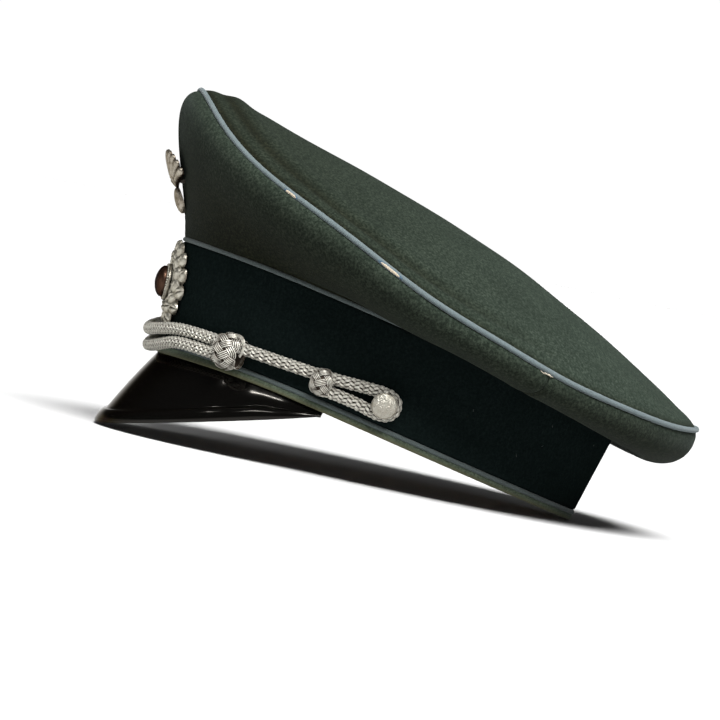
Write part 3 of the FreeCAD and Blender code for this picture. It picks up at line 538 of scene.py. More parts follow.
def loft(sections, closed, cap="fan"):
    """Points and faces of a solid through closed sections: an array of section, point, xyz."""
    rows, columns, _ = sections.shape
    faces = grid_faces(rows, columns, closed, True).tolist()
    if not closed and cap == "fan":
        faces.append(list(range(columns)))
        faces.append(list(range(rows * columns - 1, (rows - 1) * columns - 1, -1)))
    if not closed and cap == "strip":
        for start, flip in ((0, 1), ((rows - 1) * columns, -1)):
            for i in range(columns // 2 - 1):
                quad = [start + i, start + i + 1, start + columns - 2 - i, start + columns - 1 - i]
                faces.append(quad[::flip])
    return sections.reshape(-1, 3), faces


def outward_fixed(made):
    """Turns every face of a closed mesh outwards."""
    bpy.context.view_layer.objects.active = made
    made.select_set(True)
    bpy.ops.object.mode_set(mode="EDIT")
    bpy.ops.mesh.select_all(action="SELECT")
    bpy.ops.mesh.normals_make_consistent(inside=False)
    bpy.ops.object.mode_set(mode="OBJECT")
    made.select_set(False)
    return made


def solid(name, sections, material, closed, cap="fan", values=None, smooth_below=50.0):
    """An object lofted through closed sections, with its faces turned outwards."""
    points, faces = loft(np.asarray(sections, float), closed, cap)
    return outward_fixed(mesh_object(name, points, faces, material, values, smooth_below))


def merged(name, parts, material, smooth_below=50.0):
    """One object from many (points, faces, values) parts."""
    points = []
    faces = []
    values = {}
    count = 0
    for part_points, part_faces, part_values in parts:
        points.append(np.asarray(part_points, float))
        faces.extend([[int(i) + count for i in face] for face in part_faces])
        for key, numbers in part_values.items():
            values.setdefault(key, []).append(np.asarray(numbers, float).ravel())
        count += len(part_points)
    joined = {key: np.concatenate(numbers) for key, numbers in values.items()}
    return outward_fixed(mesh_object(name, np.concatenate(points), faces, material, joined, smooth_below))


def directions(points, closed=False):
    if closed:
        return unit(np.roll(points, -1, 0) - np.roll(points, 1, 0))
    return unit(np.gradient(points, axis=0))


def tube(points, out, half_width, half_depth=None, sides=8, closed=False):
    """Sections of a round or flattened tube. out is its local outward direction at each point."""
    half_depth = half_width if half_depth is None else half_depth
    tangent = directions(points, closed)
    side = unit(np.cross(tangent, out))
    lift = np.cross(side, tangent)
    turn = np.arange(sides) * (2 * math.pi / sides)
    wide = np.broadcast_to(half_width, len(points))[:, None] * np.cos(turn)
    deep = np.broadcast_to(half_depth, len(points))[:, None] * np.sin(turn)
    return points[:, None] + side[:, None] * wide[..., None] + lift[:, None] * deep[..., None]


def resampled(points, step):
    lengths = np.concatenate([[0], np.cumsum(np.linalg.norm(np.diff(points, axis=0), axis=1))])
    count = max(2, int(round(lengths[-1] / step)) + 1)
    at = np.linspace(0, lengths[-1], count)
    return np.stack([np.interp(at, lengths, points[:, i]) for i in range(3)], -1), at


def finished(piece, body, slot, *nodes):
    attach(piece, body)
    if nodes:
        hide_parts(*nodes)


# ------------------------------ crown


def make_crown_top(wool):
    """The top cloth, drawn over the wire: a dip along the seam and a low ridge inside it, with painted shade
    in the dip and towards the front.
    """
    mean_half_size = 130.0
    dip_inside = 9.5
    clear = 1 - (CROWN_PIPING - EDGE_TUCK) / CROWN_HALF_WIDTH
    rings = 1 - (1 - np.linspace(0, 1, 90)) ** 1.7
    rings = np.concatenate([[CENTRE_RING], rings[1:]]) * clear
    scale, turn = np.meshgrid(rings, np.arange(0, 360, 0.75), indexing="ij")
    x, y = crown_plan(turn, scale)
    inside = (clear - scale) * mean_half_size
    brow = np.clip((-y - 60.0) / 60.0, 0, 1)
    fore = np.clip((70.0 - y) / 90.0, 0, 1)
    edge_roll = (0.5 + 0.5 * brow**2) * bell(inside - 4.5, 4.0) - 0.5 * bell(inside, 0.8)
    dip = -1.25 * (1 - brow) * fore * bell(inside - dip_inside, 2.6)
    ridge = (0.95 * fore + 1.25 * brow) * bell(inside - 15.0, 6.0) + 0.9 * brow * bell(inside - 27.0, 13.0)
    sag = -0.8 * bell(y + 85.0, 42.0) * np.clip(inside / 12, 0, 1)
    flat = top_height(x, y)
    uneven = 0.35 * ripple(xyz(x, y, flat), 60.0, 3) * np.clip(inside / 25, 0, 1)
    height = flat + edge_roll + dip + ridge + sag + uneven
    rows = np.concatenate([xyz(x, y, height), xyz(x, y, height - WOOL)[::-1]])
    # Painted shade: darker in the seam's dip and right at the piping, and darker towards the front of the
    # top. It reaches the wool as the low attribute.
    painted_crease_shade = 0.42 * fore * bell(inside - dip_inside, 3.0) + 0.7 * bell(inside, 2.2)
    shade = np.clip((60.0 - y) / 200.0, 0, 1) * 0.66 + painted_crease_shade
    low = np.clip(np.concatenate([shade, shade[::-1]]), 0, 1)
    made = solid("crown_top_cloth", rows, wool, False, "fan", {"low": low})
    finished(made, "root", "crown_wool", "crown_top_panel")


def make_crown_sides(wool):
    """The four side cloths. Their ends turn in at the seams and tuck in behind both pipings."""
    front_gap = 0.12
    seam_gap = 0.1
    tuck_drop = 1.7
    spans = {
        "crown_left_front": (front_gap, SIDE_SEAM - seam_gap),
        "crown_right_front": (-SIDE_SEAM + seam_gap, -front_gap),
        "crown_left_rear": (SIDE_SEAM + seam_gap, 180 - seam_gap),
        "crown_right_rear": (180 + seam_gap, 360 - SIDE_SEAM - seam_gap),
    }
    clear = CROWN_PIPING - EDGE_TUCK
    share = np.concatenate([[0, 0.008, 0.02, 0.035], np.linspace(0.05, 1, 48)])
    tuck = bell(share, 0.012)[None, :]
    for name, (start, stop) in spans.items():
        from_seam = np.linspace(-1, 1, int(abs(stop - start) / 0.7))
        turn = start + (stop - start) * (0.5 + 0.5 * np.sin(from_seam * math.pi / 2))
        _, _, edge_pole, edge = side_curve(turn)
        last = 1 - clear / (3 * np.linalg.norm(edge - edge_pole, axis=-1))
        angle = np.repeat(turn[:, None], len(share), 1)
        along = share[None, :] * last[:, None]
        seam = np.minimum(angle - start, stop - angle) * 2.0
        inset = 0.75 * bell(seam, 1.1) - 0.25 * bell(seam - 4.0, 3.0)
        inset = inset + 0.55 * bell((1 - share) * 50, 1.0)[None, :]
        inset = inset + 0.35 * ripple(side_point(angle, along), 45.0, 11)
        outer = side_point(angle, along, inset + 0.9 * tuck) - scaled(UP, tuck_drop * tuck)
        inner = side_point(angle, along, inset + WOOL + 0.6 * tuck) - scaled(UP, tuck_drop * tuck)
        # Painted shade: the low attribute makes the side cloth darker towards the band, under the crown's
        # overhang, and darker towards the back.
        low = 1.25 * (1 - share[None, :]) ** 0.6 + 0.35 * np.maximum(0, -cos_d(angle))
        low = np.clip(out_and_back(low, low), 0, 1)
        made = solid(name + "_cloth", out_and_back(outer, inner), wool, False, "strip", {"low": low})
        finished(made, "root", "crown_wool", name + "_panel")


# Where the crown's piping is worn through: angles round the cap, and round the cord itself.
WORN_SPOTS = ((48.6, 51.2), (72.2, 76.2))
WORN_SIDE = 16.0
WORN_HALF_TURN = 34
BAND_CORD = 1.08
BAND_CORD_INSET = 0.55


def ring_piping(name, centre, radius, cloth, node, outward, step=0.12, worn=()):
    angle = np.arange(0, 360, step)
    points = centre(angle)
    wrinkle = 1 + 0.035 * ripple(points, 5.0, 21) + 0.02 * ripple(points, 1.3, 22)
    out = outward(angle)
    sides = 20
    sections = tube(points, out, radius * wrinkle, sides=sides, closed=True)
    facing = np.arange(sides) * (360.0 / sides) - 90
    wear = np.zeros((len(angle), sides))
    for start, stop in worn:
        middle = (start + stop) / 2
        half = (stop - start) / 2
        along = np.clip(1.6 - np.abs((angle - middle) / half), 0, 1)[:, None]
        across = np.clip(1.45 - np.abs((facing + WORN_SIDE) / WORN_HALF_TURN)[None, :], 0, 1)
        wear = np.maximum(wear, along * across)
    made = solid(name, sections, cloth, True, values={"wear": wear})
    finished(made, "root", "piping_cloth", node)


def make_pipings():
    blue_grey = piping_cloth("piping_cloth", (0.066, 0.085, 0.088), (0.122, 0.150, 0.156))
    grey_green = piping_cloth("band_piping_cloth", (0.044, 0.055, 0.054), (0.084, 0.104, 0.101))
    ring_piping("crown_edge_piping", crown_edge, CROWN_PIPING, blue_grey, "crown_piping", crown_normal,
                worn=WORN_SPOTS)
    for name, height in (("band_upper", band_head), ("band_lower", band_foot)):

        def centre(angle, height=height):
            return band_point(angle, height(angle), -BAND_CORD_INSET)

        ring_piping(name + "_cord", centre, BAND_CORD, grey_green, name + "_piping", band_normal, 0.2)


# ------------------------------ band


def band_sheet(name, outer, inner, foot, head, material, slot, node, rows=26, wave=0.15, seed=5, soil=False):
    """A ring that follows the band, between two insets and two heights, closed all round."""
    angle = np.arange(0, 360, 1.0)
    share = np.linspace(0, 1, rows)
    turn = np.repeat(angle[:, None], rows, 1)
    height = foot(turn) + (head(turn) - foot(turn)) * share[None, :]
    uneven = wave * ripple(band_point(turn, height), 30.0, seed) * np.sin(share * math.pi)[None, :]
    front = band_point(turn, height, outer(turn, share) + uneven)
    back = band_point(turn, height, inner(turn, share) + uneven)
    values = {}
    if soil:
        edge = 1 - share
        values = {"soil": np.broadcast_to(np.concatenate([edge, edge[::-1]]), (len(angle), 2 * rows))}
    made = solid(name, out_and_back(front, back), material, True, values=values)
    finished(made, "root", slot, node)


def turned_in(share, depth, width):
    """How far the two long edges of a strip turn in."""
    return depth * (bell(share, width) + bell(1 - share, width))


def make_band(cloth):
    clear = 0.6
    edge = 0.016

    def outer(turn, share):
        return -turned_in(share, 1.1, edge) + 0 * turn

    def inner(turn, share):
        return -WOOL - turned_in(share, 0.5, edge) + 0 * turn

    def foot(angle):
        return band_foot(angle) + clear

    def head(angle):
        return band_head(angle) - clear

    band_sheet("band_cloth_ring", outer, inner, foot, head, cloth, "band_cloth", "cap_band", rows=64)


VISOR_END = 72.0
VISOR_THICK = 1.6
VISOR_LEVEL = -51.0
VISOR_FLARE = 0.345


def visor_share(angle):
    """1 at the visor's middle, falling to 0 at its ends."""
    end = math.cos(math.radians(VISOR_END))
    return np.maximum(0, (cos_d(angle) - end) / (1 - end))


def binding_foot(angle):
    return band_foot(angle) - 3.9 - 0.9 * np.maximum(0, cos_d(angle)) ** 4


def visor_root_out(angle):
    return 4.5 * visor_share(angle) - 2.6


def make_binding(cloth):
    """The cloth strip below the band, which laps over the root of the visor."""
    thick = 1.2
    proud = 0.3
    edge = 0.09

    def lap(turn, share):
        foot = np.maximum(proud, visor_root_out(turn) + thick + SEAM_GAP)
        return foot + (proud - foot) * share

    def outer(turn, share):
        groove = 0.22 * bell(share - 0.8, 0.05)
        return lap(turn, share) - turned_in(share, 0.4, edge) - groove - 0.5 * bell(1 - share, edge)

    def inner(turn, share):
        return lap(turn, share) - thick

    def head(angle):
        return band_foot(angle) - 0.9

    band_sheet("binding_strip", outer, inner, binding_foot, head, cloth, "binding_cloth", "edge_binding",
               wave=0.08, seed=6, soil=True)


# ------------------------------ visor


def visor_profile(angle):
    """Outer line of the visor at one angle, as distance out and height."""
    foot = float(band_foot(angle))
    root = float(binding_foot(angle)) - 0.1
    least_fall = 2.0
    full_bead_fall = 16.0
    flange_inset = 2.9
    tip = root - least_fall + (VISOR_LEVEL - float(binding_foot(0)) + least_fall) * float(visor_share(angle))
    fall = root - tip
    lean = float(band_lean(angle))
    root_out = float(visor_root_out(angle)) + lean * root
    bead = 8.0 * min(1.0, fall / full_bead_fall)
    rise = 1.3 * min(1.0, fall / full_bead_fall)
    flange = [(lean * (foot + up) - flange_inset, foot + up) for up in (9.0, 6.5, 4.0, 1.5, -1.0)]
    neck = [(root_out - 0.9, root + 1.2), (root_out, root)]
    plain_part = []
    for share in np.linspace(0.06, 1.0, 26):
        drop = (fall - bead) * share
        belly = 0.5 * math.sin(math.pi * share) * min(1.0, fall / 30)
        plain_part.append((root_out + VISOR_FLARE * drop + belly, root - drop))
    beaded = []
    for share in np.linspace(0.05, 1.0, 22):
        drop = fall - bead + bead * share
        swell = math.sin(math.pi * min(1.0, share * 1.02) ** 0.85) ** 0.7
        step = min(1.0, share / 0.12)
        beaded.append((root_out + VISOR_FLARE * drop + rise * max(swell, 0.0) * step, root - drop))
    return np.array(flange + neck + plain_part + beaded)


def make_visor(lacquer, lining):
    flange_thick = 1.2
    flange_points = 5
    edge_thick = (1.35, 1.0, 0.55)
    sections = []
    for angle in np.linspace(-VISOR_END, VISOR_END, 145):
        outer = visor_profile(angle)
        normal = band_normal(angle)
        start = band_point(angle, 0.0)
        slope = np.gradient(outer, axis=0)
        inward = unit(np.stack([slope[:, 1], -slope[:, 0]], -1))
        thick = np.full(len(outer), VISOR_THICK)
        thick[:flange_points] = flange_thick
        thick[-len(edge_thick):] = edge_thick
        inner = outer + inward * thick[:, None]
        line = np.concatenate([outer, inner[::-1]])
        sections.append(start + normal * line[:, :1] + UP * line[:, 1:])
    made = solid("visor_shell", np.array(sections), lacquer, False, "strip", smooth_below=40)
    made.data.materials.append(lining)
    columns = len(sections[0])
    half = columns // 2
    for face in made.data.polygons:
        if min(i % columns for i in face.vertices) >= half + len(edge_thick):
            face.material_index = 1
    finished(made, "root", "visor_fibre", "visor")


# ------------------------------ chin cords

CORD_RADIUS = 2.95
CORD_PITCH = 6.1
KNOT_ANGLE = 43.4
KNOT_HEIGHT = 4.2
TRACK_RADIUS = 101.4
KNOT_TRAVEL = 12.0
KNOT_RADIUS = 8.8
SMALL_KNOT_RADIUS = 6.6
SMALL_KNOT_ANGLE = 69.6
SMALL_KNOT_HEIGHT = 8.6
SMALL_KNOT_OUT = 4.0
KNOT_STAND_OFF = 5.8
CORD_TURN_IN = 3.0
CORD_CLIMB = 4.6
CARRIERS = 8
STRAND_SIDES = 8
STRAND_HALF_WIDTH = 0.58
STRAND_HALF_DEPTH = 0.47
WEAVE_DEPTH = 0.46
LAY_BEHIND = 35.0
LAY_IN_FRONT = 22.0
LAY_CHANGE = 4.0
PLAIN_END = 4.5
BACK_RUN = 9.5
FRONT_RUN = 10.0
SHOULDER_X = 20.0
STRAND_ACROSS = np.cos(np.arange(STRAND_SIDES) * (2 * math.pi / STRAND_SIDES))

# Angle, height and stand-off of the corners of a cord's loop round the button.
CORD_LOOP = (
    (70.4, 5.6, 3.7),
    (77.6, 6.6, 4.0),
    (88.2, 4.6, 3.7),
    (88.2, 16.6, 3.7),
    (77.6, 13.9, 4.0),
    (69.6, 11.3, 4.1),
)


def turned(vector, axis, angle):
    return np.array(Matrix.Rotation(math.radians(angle), 3, Vector(axis)) @ Vector(vector))


class KnotTrack:
    """The round stretch of cord that a large knot slides along, on one side of the cap."""

    back_reach = 11.0
    front_reach = KNOT_TRAVEL + 10.0

    def __init__(self, sign):
        angle = sign * KNOT_ANGLE
        self.middle = band_point(angle, KNOT_HEIGHT, KNOT_STAND_OFF)
        back = unit(xyz(BAND_HALF_WIDTH * cos_d(angle), BAND_HALF_LENGTH * sin_d(angle), 0) * sign)
        back = turned(back, (0, 0, 1), sign * CORD_TURN_IN)
        self.out = np.cross(back, UP) * sign
        self.back = unit(back + UP * math.tan(math.radians(CORD_CLIMB)))
        self.up = unit(np.cross(self.out, self.back)) * sign
        self.centre = self.middle - self.out * TRACK_RADIUS

    def spoke(self, distance):
        swing = distance / TRACK_RADIUS
        return self.out * math.cos(swing) + self.back * math.sin(swing)

    def at(self, distance, lift=0.0):
        return self.centre + self.spoke(distance) * TRACK_RADIUS + self.up * lift

    def corner(self, start, stop, lift):
        reach = TRACK_RADIUS / math.cos((stop - start) / 2 / TRACK_RADIUS)
        return self.centre + self.spoke((start + stop) / 2) * reach + self.up * lift

    def leave(self, distance, run, lift):
        swing = distance / TRACK_RADIUS
        tangent = self.back * math.cos(swing) - self.out * math.sin(swing)
        return self.at(distance, lift) + tangent * run


TRACKS = {1: KnotTrack(1), -1: KnotTrack(-1)}


def cord_route(sign, lift, shoulder, middle):
    """Corners of one cord, whose loop is on the side given by sign."""
    near = TRACKS[sign]
    far = TRACKS[-sign]
    corners = [band_point(sign * angle, height, out) for angle, height, out in CORD_LOOP]
    corners.append(near.leave(near.back_reach, BACK_RUN, lift))
    corners.append(near.corner(-near.front_reach, near.back_reach, lift))
    corners.append(near.leave(-near.front_reach, -FRONT_RUN, lift))
    corners.append(np.array([sign * SHOULDER_X, *shoulder]))
    corners.append(np.array([0.0, *middle]))
    corners.append(np.array([-sign * SHOULDER_X, *shoulder]))
    corners.append(far.leave(-far.front_reach, -FRONT_RUN, lift))
    corners.append(far.corner(-far.front_reach, -PLAIN_END, lift))
    corners.append(far.at(-PLAIN_END, lift))
    return corners


def spline_points(corners):
    """Points along the NURBS curve that the corners control."""
    curve = bpy.data.curves.new("route", "CURVE")
    curve.dimensions = "3D"
    curve.resolution_u = 24
    spline = curve.splines.new("NURBS")
    spline.points.add(len(corners) - 1)
    for point, corner in zip(spline.points, corners):
        point.co = (*corner, 1.0)
    spline.order_u = 3
    spline.use_endpoint_u = True
    holder = bpy.data.objects.new("route", curve)
    made = bpy.data.meshes.new_from_object(holder)
    points = np.array([v.co for v in made.vertices], float)
    bpy.data.objects.remove(holder)
    return points


def outward_at(points):
    flat = xyz(points[..., 0] / BAND_HALF_WIDTH**2, points[..., 1] / BAND_HALF_LENGTH**2, 0)
    return unit(flat)


def braid_parts(points, radius):
    """Strands of a round plain braid, half of them turning each way. It is shorter laid in front."""
    centre, along = resampled(points, 0.5)
    tangent = directions(centre)
    out = outward_at(centre)
    out = unit(out - tangent * np.sum(out * tangent, -1, keepdims=True))
    side = np.cross(tangent, out)
    bearing = np.degrees(np.abs(np.arctan2(centre[:, 0], -centre[:, 1])))
    front = np.clip((KNOT_ANGLE + LAY_CHANGE / 2 - bearing) / LAY_CHANGE, 0, 1)
    lay = LAY_BEHIND + (LAY_IN_FRONT - LAY_BEHIND) * front
    turns = np.concatenate([[0], np.cumsum(np.diff(along) / ((lay[1:] + lay[:-1]) / 2))])
    parts = []
    for way in (1, -1):
        lift = way * np.cos(turns * 2 * CARRIERS * math.pi)
        reach = radius - STRAND_HALF_DEPTH - WEAVE_DEPTH + WEAVE_DEPTH * lift
        wide = STRAND_HALF_WIDTH * (1 + 0.14 * lift)
        for index in range(CARRIERS):
            swing = 2 * math.pi * (way * turns + index / CARRIERS)
            radial = out * np.cos(swing)[:, None] + side * np.sin(swing)[:, None]
            sections = tube(centre + radial * reach[:, None], radial, wide, STRAND_HALF_DEPTH, STRAND_SIDES)
            strand_points, faces = loft(sections, False)
            hollow = 0.45 * (1 - lift)[:, None] + 0.65 * np.abs(STRAND_ACROSS)[None, :] ** 3
            across = np.broadcast_to(STRAND_ACROSS, hollow.shape)
            parts.append((strand_points, faces, {"hollow": hollow, "across": across}))
    return parts, centre, out


def make_chin_cords(braid, core):
    core_inset = 1.15
    half = CORD_PITCH / 2
    cords = (
        ("chin_cord_upper", 1, half, (-110.2, 0.6), (-113.2, -2.2)),
        ("chin_cord_lower", -1, -half, (-107.6, -6.6), (-110.3, -9.1)),
    )
    for name, sign, lift, shoulder, middle in cords:
        line = spline_points(cord_route(sign, lift, shoulder, middle))
        parts, centre, out = braid_parts(line, CORD_RADIUS)
        made = merged(name + "_braid", parts, braid, 80)
        finished(made, "root", "cord_braid", name)
        inner = tube(centre, out, CORD_RADIUS - core_inset, sides=10)
        finished(solid(name + "_core", inner, core, False), "root", "cord_braid")


# ------------------------------ knots


def knot_point(longitude, latitude, reach, radius, back):
    """On a ball about the cord's axis (local X), whose back towards the band is flattened."""
    ring = np.cos(latitude) * reach
    points = xyz(np.sin(latitude) * reach, ring * np.sin(longitude), ring * np.cos(longitude))
    points[..., 2] = np.where(points[..., 2] < 0, points[..., 2] * back / radius, points[..., 2])
    return points


def clear_of_cords(points, half_pitch, reach):
    """Moves points out of the slot that the cords run through, about local X."""
    beyond = np.maximum(np.abs(points[..., 1]) - half_pitch, 0)
    grow = np.maximum(1.0, reach / np.maximum(np.hypot(beyond, points[..., 2]), 0.01))
    points[..., 1] += np.sign(points[..., 1]) * beyond * (grow - 1)
    points[..., 2] *= grow
    return points


def weave_lift(steps, leads):
    """1 where a Turk's head strand passes over, -1 where it passes under, 0 at its outer bends."""

    def at(number):
        sign = 1 - 2 * ((number + 1 + number // leads) % 2)
        return np.where(number % leads == 0, 0, sign)

    lower = np.floor(steps).astype(int)
    share = 0.5 - 0.5 * np.cos(math.pi * (steps - lower))
    return at(lower) + (at(lower + 1) - at(lower)) * share


def knot_parts(radius, back, leads, bights, wires, wire, spread, weave, turn=0.0, slot=None):
    """Parallel wires led round together as a Turk's head of so many leads and bights."""
    wire_spacing = 2.75 * wire
    count = 210 * leads
    t = np.linspace(0, 2 * math.pi * leads, count, endpoint=False)
    lift = weave_lift(t * bights / math.pi, leads)
    reach = radius - wire - weave + weave * lift
    latitude = spread * np.cos(bights * t / leads)
    spine = knot_point(t + turn, latitude, reach, radius, radius)
    radial = unit(spine)
    side = unit(np.cross(radial, directions(spine, True)))
    parts = []
    for index in range(wires):
        offset = (index - (wires - 1) / 2) * wire_spacing
        line = unit(spine + side * offset) * reach[:, None]
        line[..., 2] = np.where(line[..., 2] < 0, line[..., 2] * back / radius, line[..., 2])
        if slot:
            line = clear_of_cords(line, *slot)
        points, faces = loft(tube(line, radial, wire, wire, STRAND_SIDES, True), True)
        hollow = 0.32 * (1 - lift)[:, None] + 1.1 * STRAND_ACROSS**2
        parts.append((points, faces, {"hollow": hollow, "across": np.zeros((count, STRAND_SIDES))}))
    return parts


def knot_core(radius, back, spread, half_pitch, slot):
    """What lies under the wires: a barrel with a slot for the cords."""
    longitude = np.linspace(0, 2 * math.pi, 72, endpoint=False)
    latitude = np.linspace(-spread, spread, 15)
    around_angle, along = np.meshgrid(longitude, latitude, indexing="ij")
    outer = clear_of_cords(knot_point(around_angle, along, radius, radius, back), half_pitch, slot + 0.15)
    ends = outer[:, [-1, 0], 0]
    reach = np.linspace(0, 1, 9)[None, :]
    x = ends[:, :1] + (ends[:, 1:] - ends[:, :1]) * reach
    rise = np.sin(longitude)
    up = (half_pitch * np.sign(np.round(rise, 6)) + slot * rise)[:, None]
    inner = xyz(x, up + 0 * x, slot * np.cos(longitude)[:, None] + 0 * x)
    return np.concatenate([outer, inner], 1)


STRAY_LOOP = (
    (1.0, 7.6, 2.4),
    (4.5, 8.2, 4.2),
    (8.0, 6.9, 4.6),
    (9.3, 4.0, 4.3),
    (8.9, 1.0, 3.6),
    (7.6, -1.0, 2.6),
)


def make_stray_loop():
    """Three wires that stand off the knot, from its upper side round to the cord behind it."""
    wire = 0.20
    middle = np.array([3.0, 1.5, 2.0])
    corners = np.array(STRAY_LOOP)
    parts = []
    for shift in (-0.5, 0.05, 0.55):
        line = spline_points(corners + unit(corners - middle) * shift)
        points, faces = loft(tube(line, unit(line), wire, sides=7), False)
        values = {"hollow": np.full(len(points), 0.40), "across": np.zeros(len(points))}
        parts.append((points, faces, values))
    return parts


def make_knot(name, body, spot, parts, barrel, braid, core):
    """A knot's wires, which stand for the CAD knot, and the barrel that they lie on."""
    made = merged(name + "_braid", spot.place(parts), braid, 80)
    finished(made, body, "cord_braid", name)
    made = solid(name + "_core", spot.at(barrel), core, True)
    finished(made, body, "cord_braid")


def make_large_knots(braid, core):
    slot = (CORD_PITCH / 2, CORD_RADIUS + 0.55)
    for side, sign in (("left", 1), ("right", -1)):
        track = TRACKS[sign]
        spot = Spot(track.middle, track.back, track.up, track.out)
        name = "large_knot_" + side
        parts = knot_parts(KNOT_RADIUS, back=4.6, leads=5, bights=9, wires=4, wire=0.325, spread=0.82,
                           weave=0.46, turn=0.35, slot=slot)
        barrel = knot_core(KNOT_RADIUS - 1.45, back=3.9, spread=0.80, half_pitch=CORD_PITCH / 2,
                           slot=CORD_RADIUS + 0.12)
        make_knot(name, name, spot, parts + make_stray_loop(), barrel, braid, core)


def make_small_knots(braid, core):
    for side, sign in (("left", 1), ("right", -1)):
        place = band_spot(sign * SMALL_KNOT_ANGLE, SMALL_KNOT_HEIGHT, SMALL_KNOT_OUT)
        spot = Spot(place.origin, place.axes[0] * sign, place.axes[1], place.axes[2])
        parts = knot_parts(SMALL_KNOT_RADIUS, back=3.6, leads=4, bights=7, wires=4, wire=0.27, spread=0.80,
                           weave=0.38, turn=0.9)
        barrel = knot_core(SMALL_KNOT_RADIUS - 1.3, back=3.2, spread=0.80, half_pitch=0.7, slot=2.7)
        make_knot("small_knot_" + side, "root", spot, parts, barrel, braid, core)


# ------------------------------ buttons and badges

BUTTON_ANGLE = 85.4
BUTTON_HEIGHT = 10.8
ROUNDEL_HEIGHT = 22.5

def disc_part(radii, heights, sides=96, hollow=None):
    """A turned piece: a profile of radius and height about local Z, closed at the axis."""
    turn = np.arange(sides) * (2 * math.pi / sides)
    radii = np.asarray(radii, float)
    across = radii[:, None]
    points = xyz(across * np.cos(turn), across * np.sin(turn), np.asarray(heights, float)[:, None])
    faces = grid_faces(len(radii), sides, False, True).tolist()
    faces.append(list(range(sides)))
    faces.append(list(range(len(radii) * sides - 1, (len(radii) - 1) * sides - 1, -1)))
    amount = np.zeros(len(radii)) if hollow is None else np.asarray(hollow, float)
    return points.reshape(-1, 3), faces, {"hollow": np.repeat(amount, sides)}


def make_buttons(metal):
    """Low domed buttons with a plain lip; their fine pebbling is in the metal's own bump."""
    neck = 6.9
    ball = 11.5
    face = 5.45
    share = np.linspace(0.01, 1, 30)
    dome = neck + 1.15 + np.sqrt(ball**2 - (share * face) ** 2) - math.sqrt(ball**2 - face**2)
    radii = np.concatenate([share * face, [5.6, 5.8, 5.97, 6.0, 5.9, 5.5, 3.0, 0.1]])
    lip = np.array([1.02, 1.12, 0.98, 0.6, 0.2, 0.04, 0.3, 0.35])
    heights = np.concatenate([dome, neck + lip])
    hollow = np.concatenate([0 * share, [0.9, 0.1, 0.1, 0.3, 0.5, 0.6, 0.6, 0.6]])
    for side, sign in (("left", 1), ("right", -1)):
        spot = band_spot(sign * BUTTON_ANGLE, BUTTON_HEIGHT)
        made = merged(side + "_button_dome", spot.place([disc_part(radii, heights, 96, hollow)]), metal, 60)
        finished(made, "root", "silver_metal", side + "_button_shell")


def leaf_part(length, half_width, height, groove=0.30):
    """A pointed leaf along local X with a sunk midrib, rounded above and flat below."""
    widest_late = 1.25
    flat_below = 0.05
    u = np.linspace(0.0, 1.0, 19)
    v = np.linspace(-1, 1, 13)
    along, across = np.meshgrid(u, v, indexing="ij")
    wide = half_width * np.sin(math.pi * along**widest_late) ** 0.6
    x = length * along
    y = across * wide
    dome = np.sqrt(np.maximum(0, 1 - across**2)) * np.maximum(0.02, np.sin(math.pi * along)) ** 0.5
    rib = bell(across, 0.13) * np.sin(math.pi * along) ** 0.4
    veins = 0.05 * np.sin((along * 9 - np.abs(across) * 1.6) * math.pi) * (1 - across**2) * (dome > 0.2)
    z = height * dome - groove * rib * height + veins * height
    hollow = np.clip(0.9 * rib + 0.6 * across**4 - veins * 2, 0, 1)
    points = np.concatenate([xyz(x, y, z).reshape(-1, 3), xyz(x, y, -flat_below).reshape(-1, 3)])
    rows, columns = along.shape
    count = rows * columns
    faces = grid_faces(rows, columns, False, False).tolist()
    faces += grid_faces(rows, columns, False, False, count)[:, ::-1].tolist()
    number = np.arange(count).reshape(rows, columns)
    sides = (number[:, 0], number[-1, 1:], number[-2::-1, -1], number[0, -2:0:-1])
    rim = np.concatenate(sides).tolist()
    for here, there in zip(rim, rim[1:] + rim[:1]):
        faces.append([here, there, there + count, here + count])
    return points, faces, {"hollow": np.concatenate([hollow.ravel(), np.full(count, 0.8)])}


def put(part, x, y, angle, lift=0.0, tilt=0.0):
    """The part turned by the angle in its plane, tipped up by the tilt, and moved."""
    points, faces, values = part
    lean = math.radians(tilt)
    points = points.copy()
    raised = points[:, 0] * math.sin(lean)
    points[:, 0] *= math.cos(lean)
    points[:, 2] += raised
    turn = math.radians(angle)
    moved = xyz(
        points[:, 0] * math.cos(turn) - points[:, 1] * math.sin(turn) + x,
        points[:, 0] * math.sin(turn) + points[:, 1] * math.cos(turn) + y,
        points[:, 2] + lift,
    )
    return moved, faces, values


def bent(part, radius, out):
    """The part pressed round an upright cylinder, as the front of the cap is round."""
    points, faces, values = part
    reach = radius + out + points[:, 2]
    turn = points[:, 0] / radius
    moved = xyz(reach * np.sin(turn), points[:, 1], reach * np.cos(turn) - radius)
    return moved, faces, values


# One spray of the wreath: how far each leaf turns out, its length, its shift outwards and its lift.
SPRAY = ((-46, 9.6, 1.5, 0.5), (38, 7.6, -1.8, 0.7), (-4, 8.6, 0.0, 1.4))


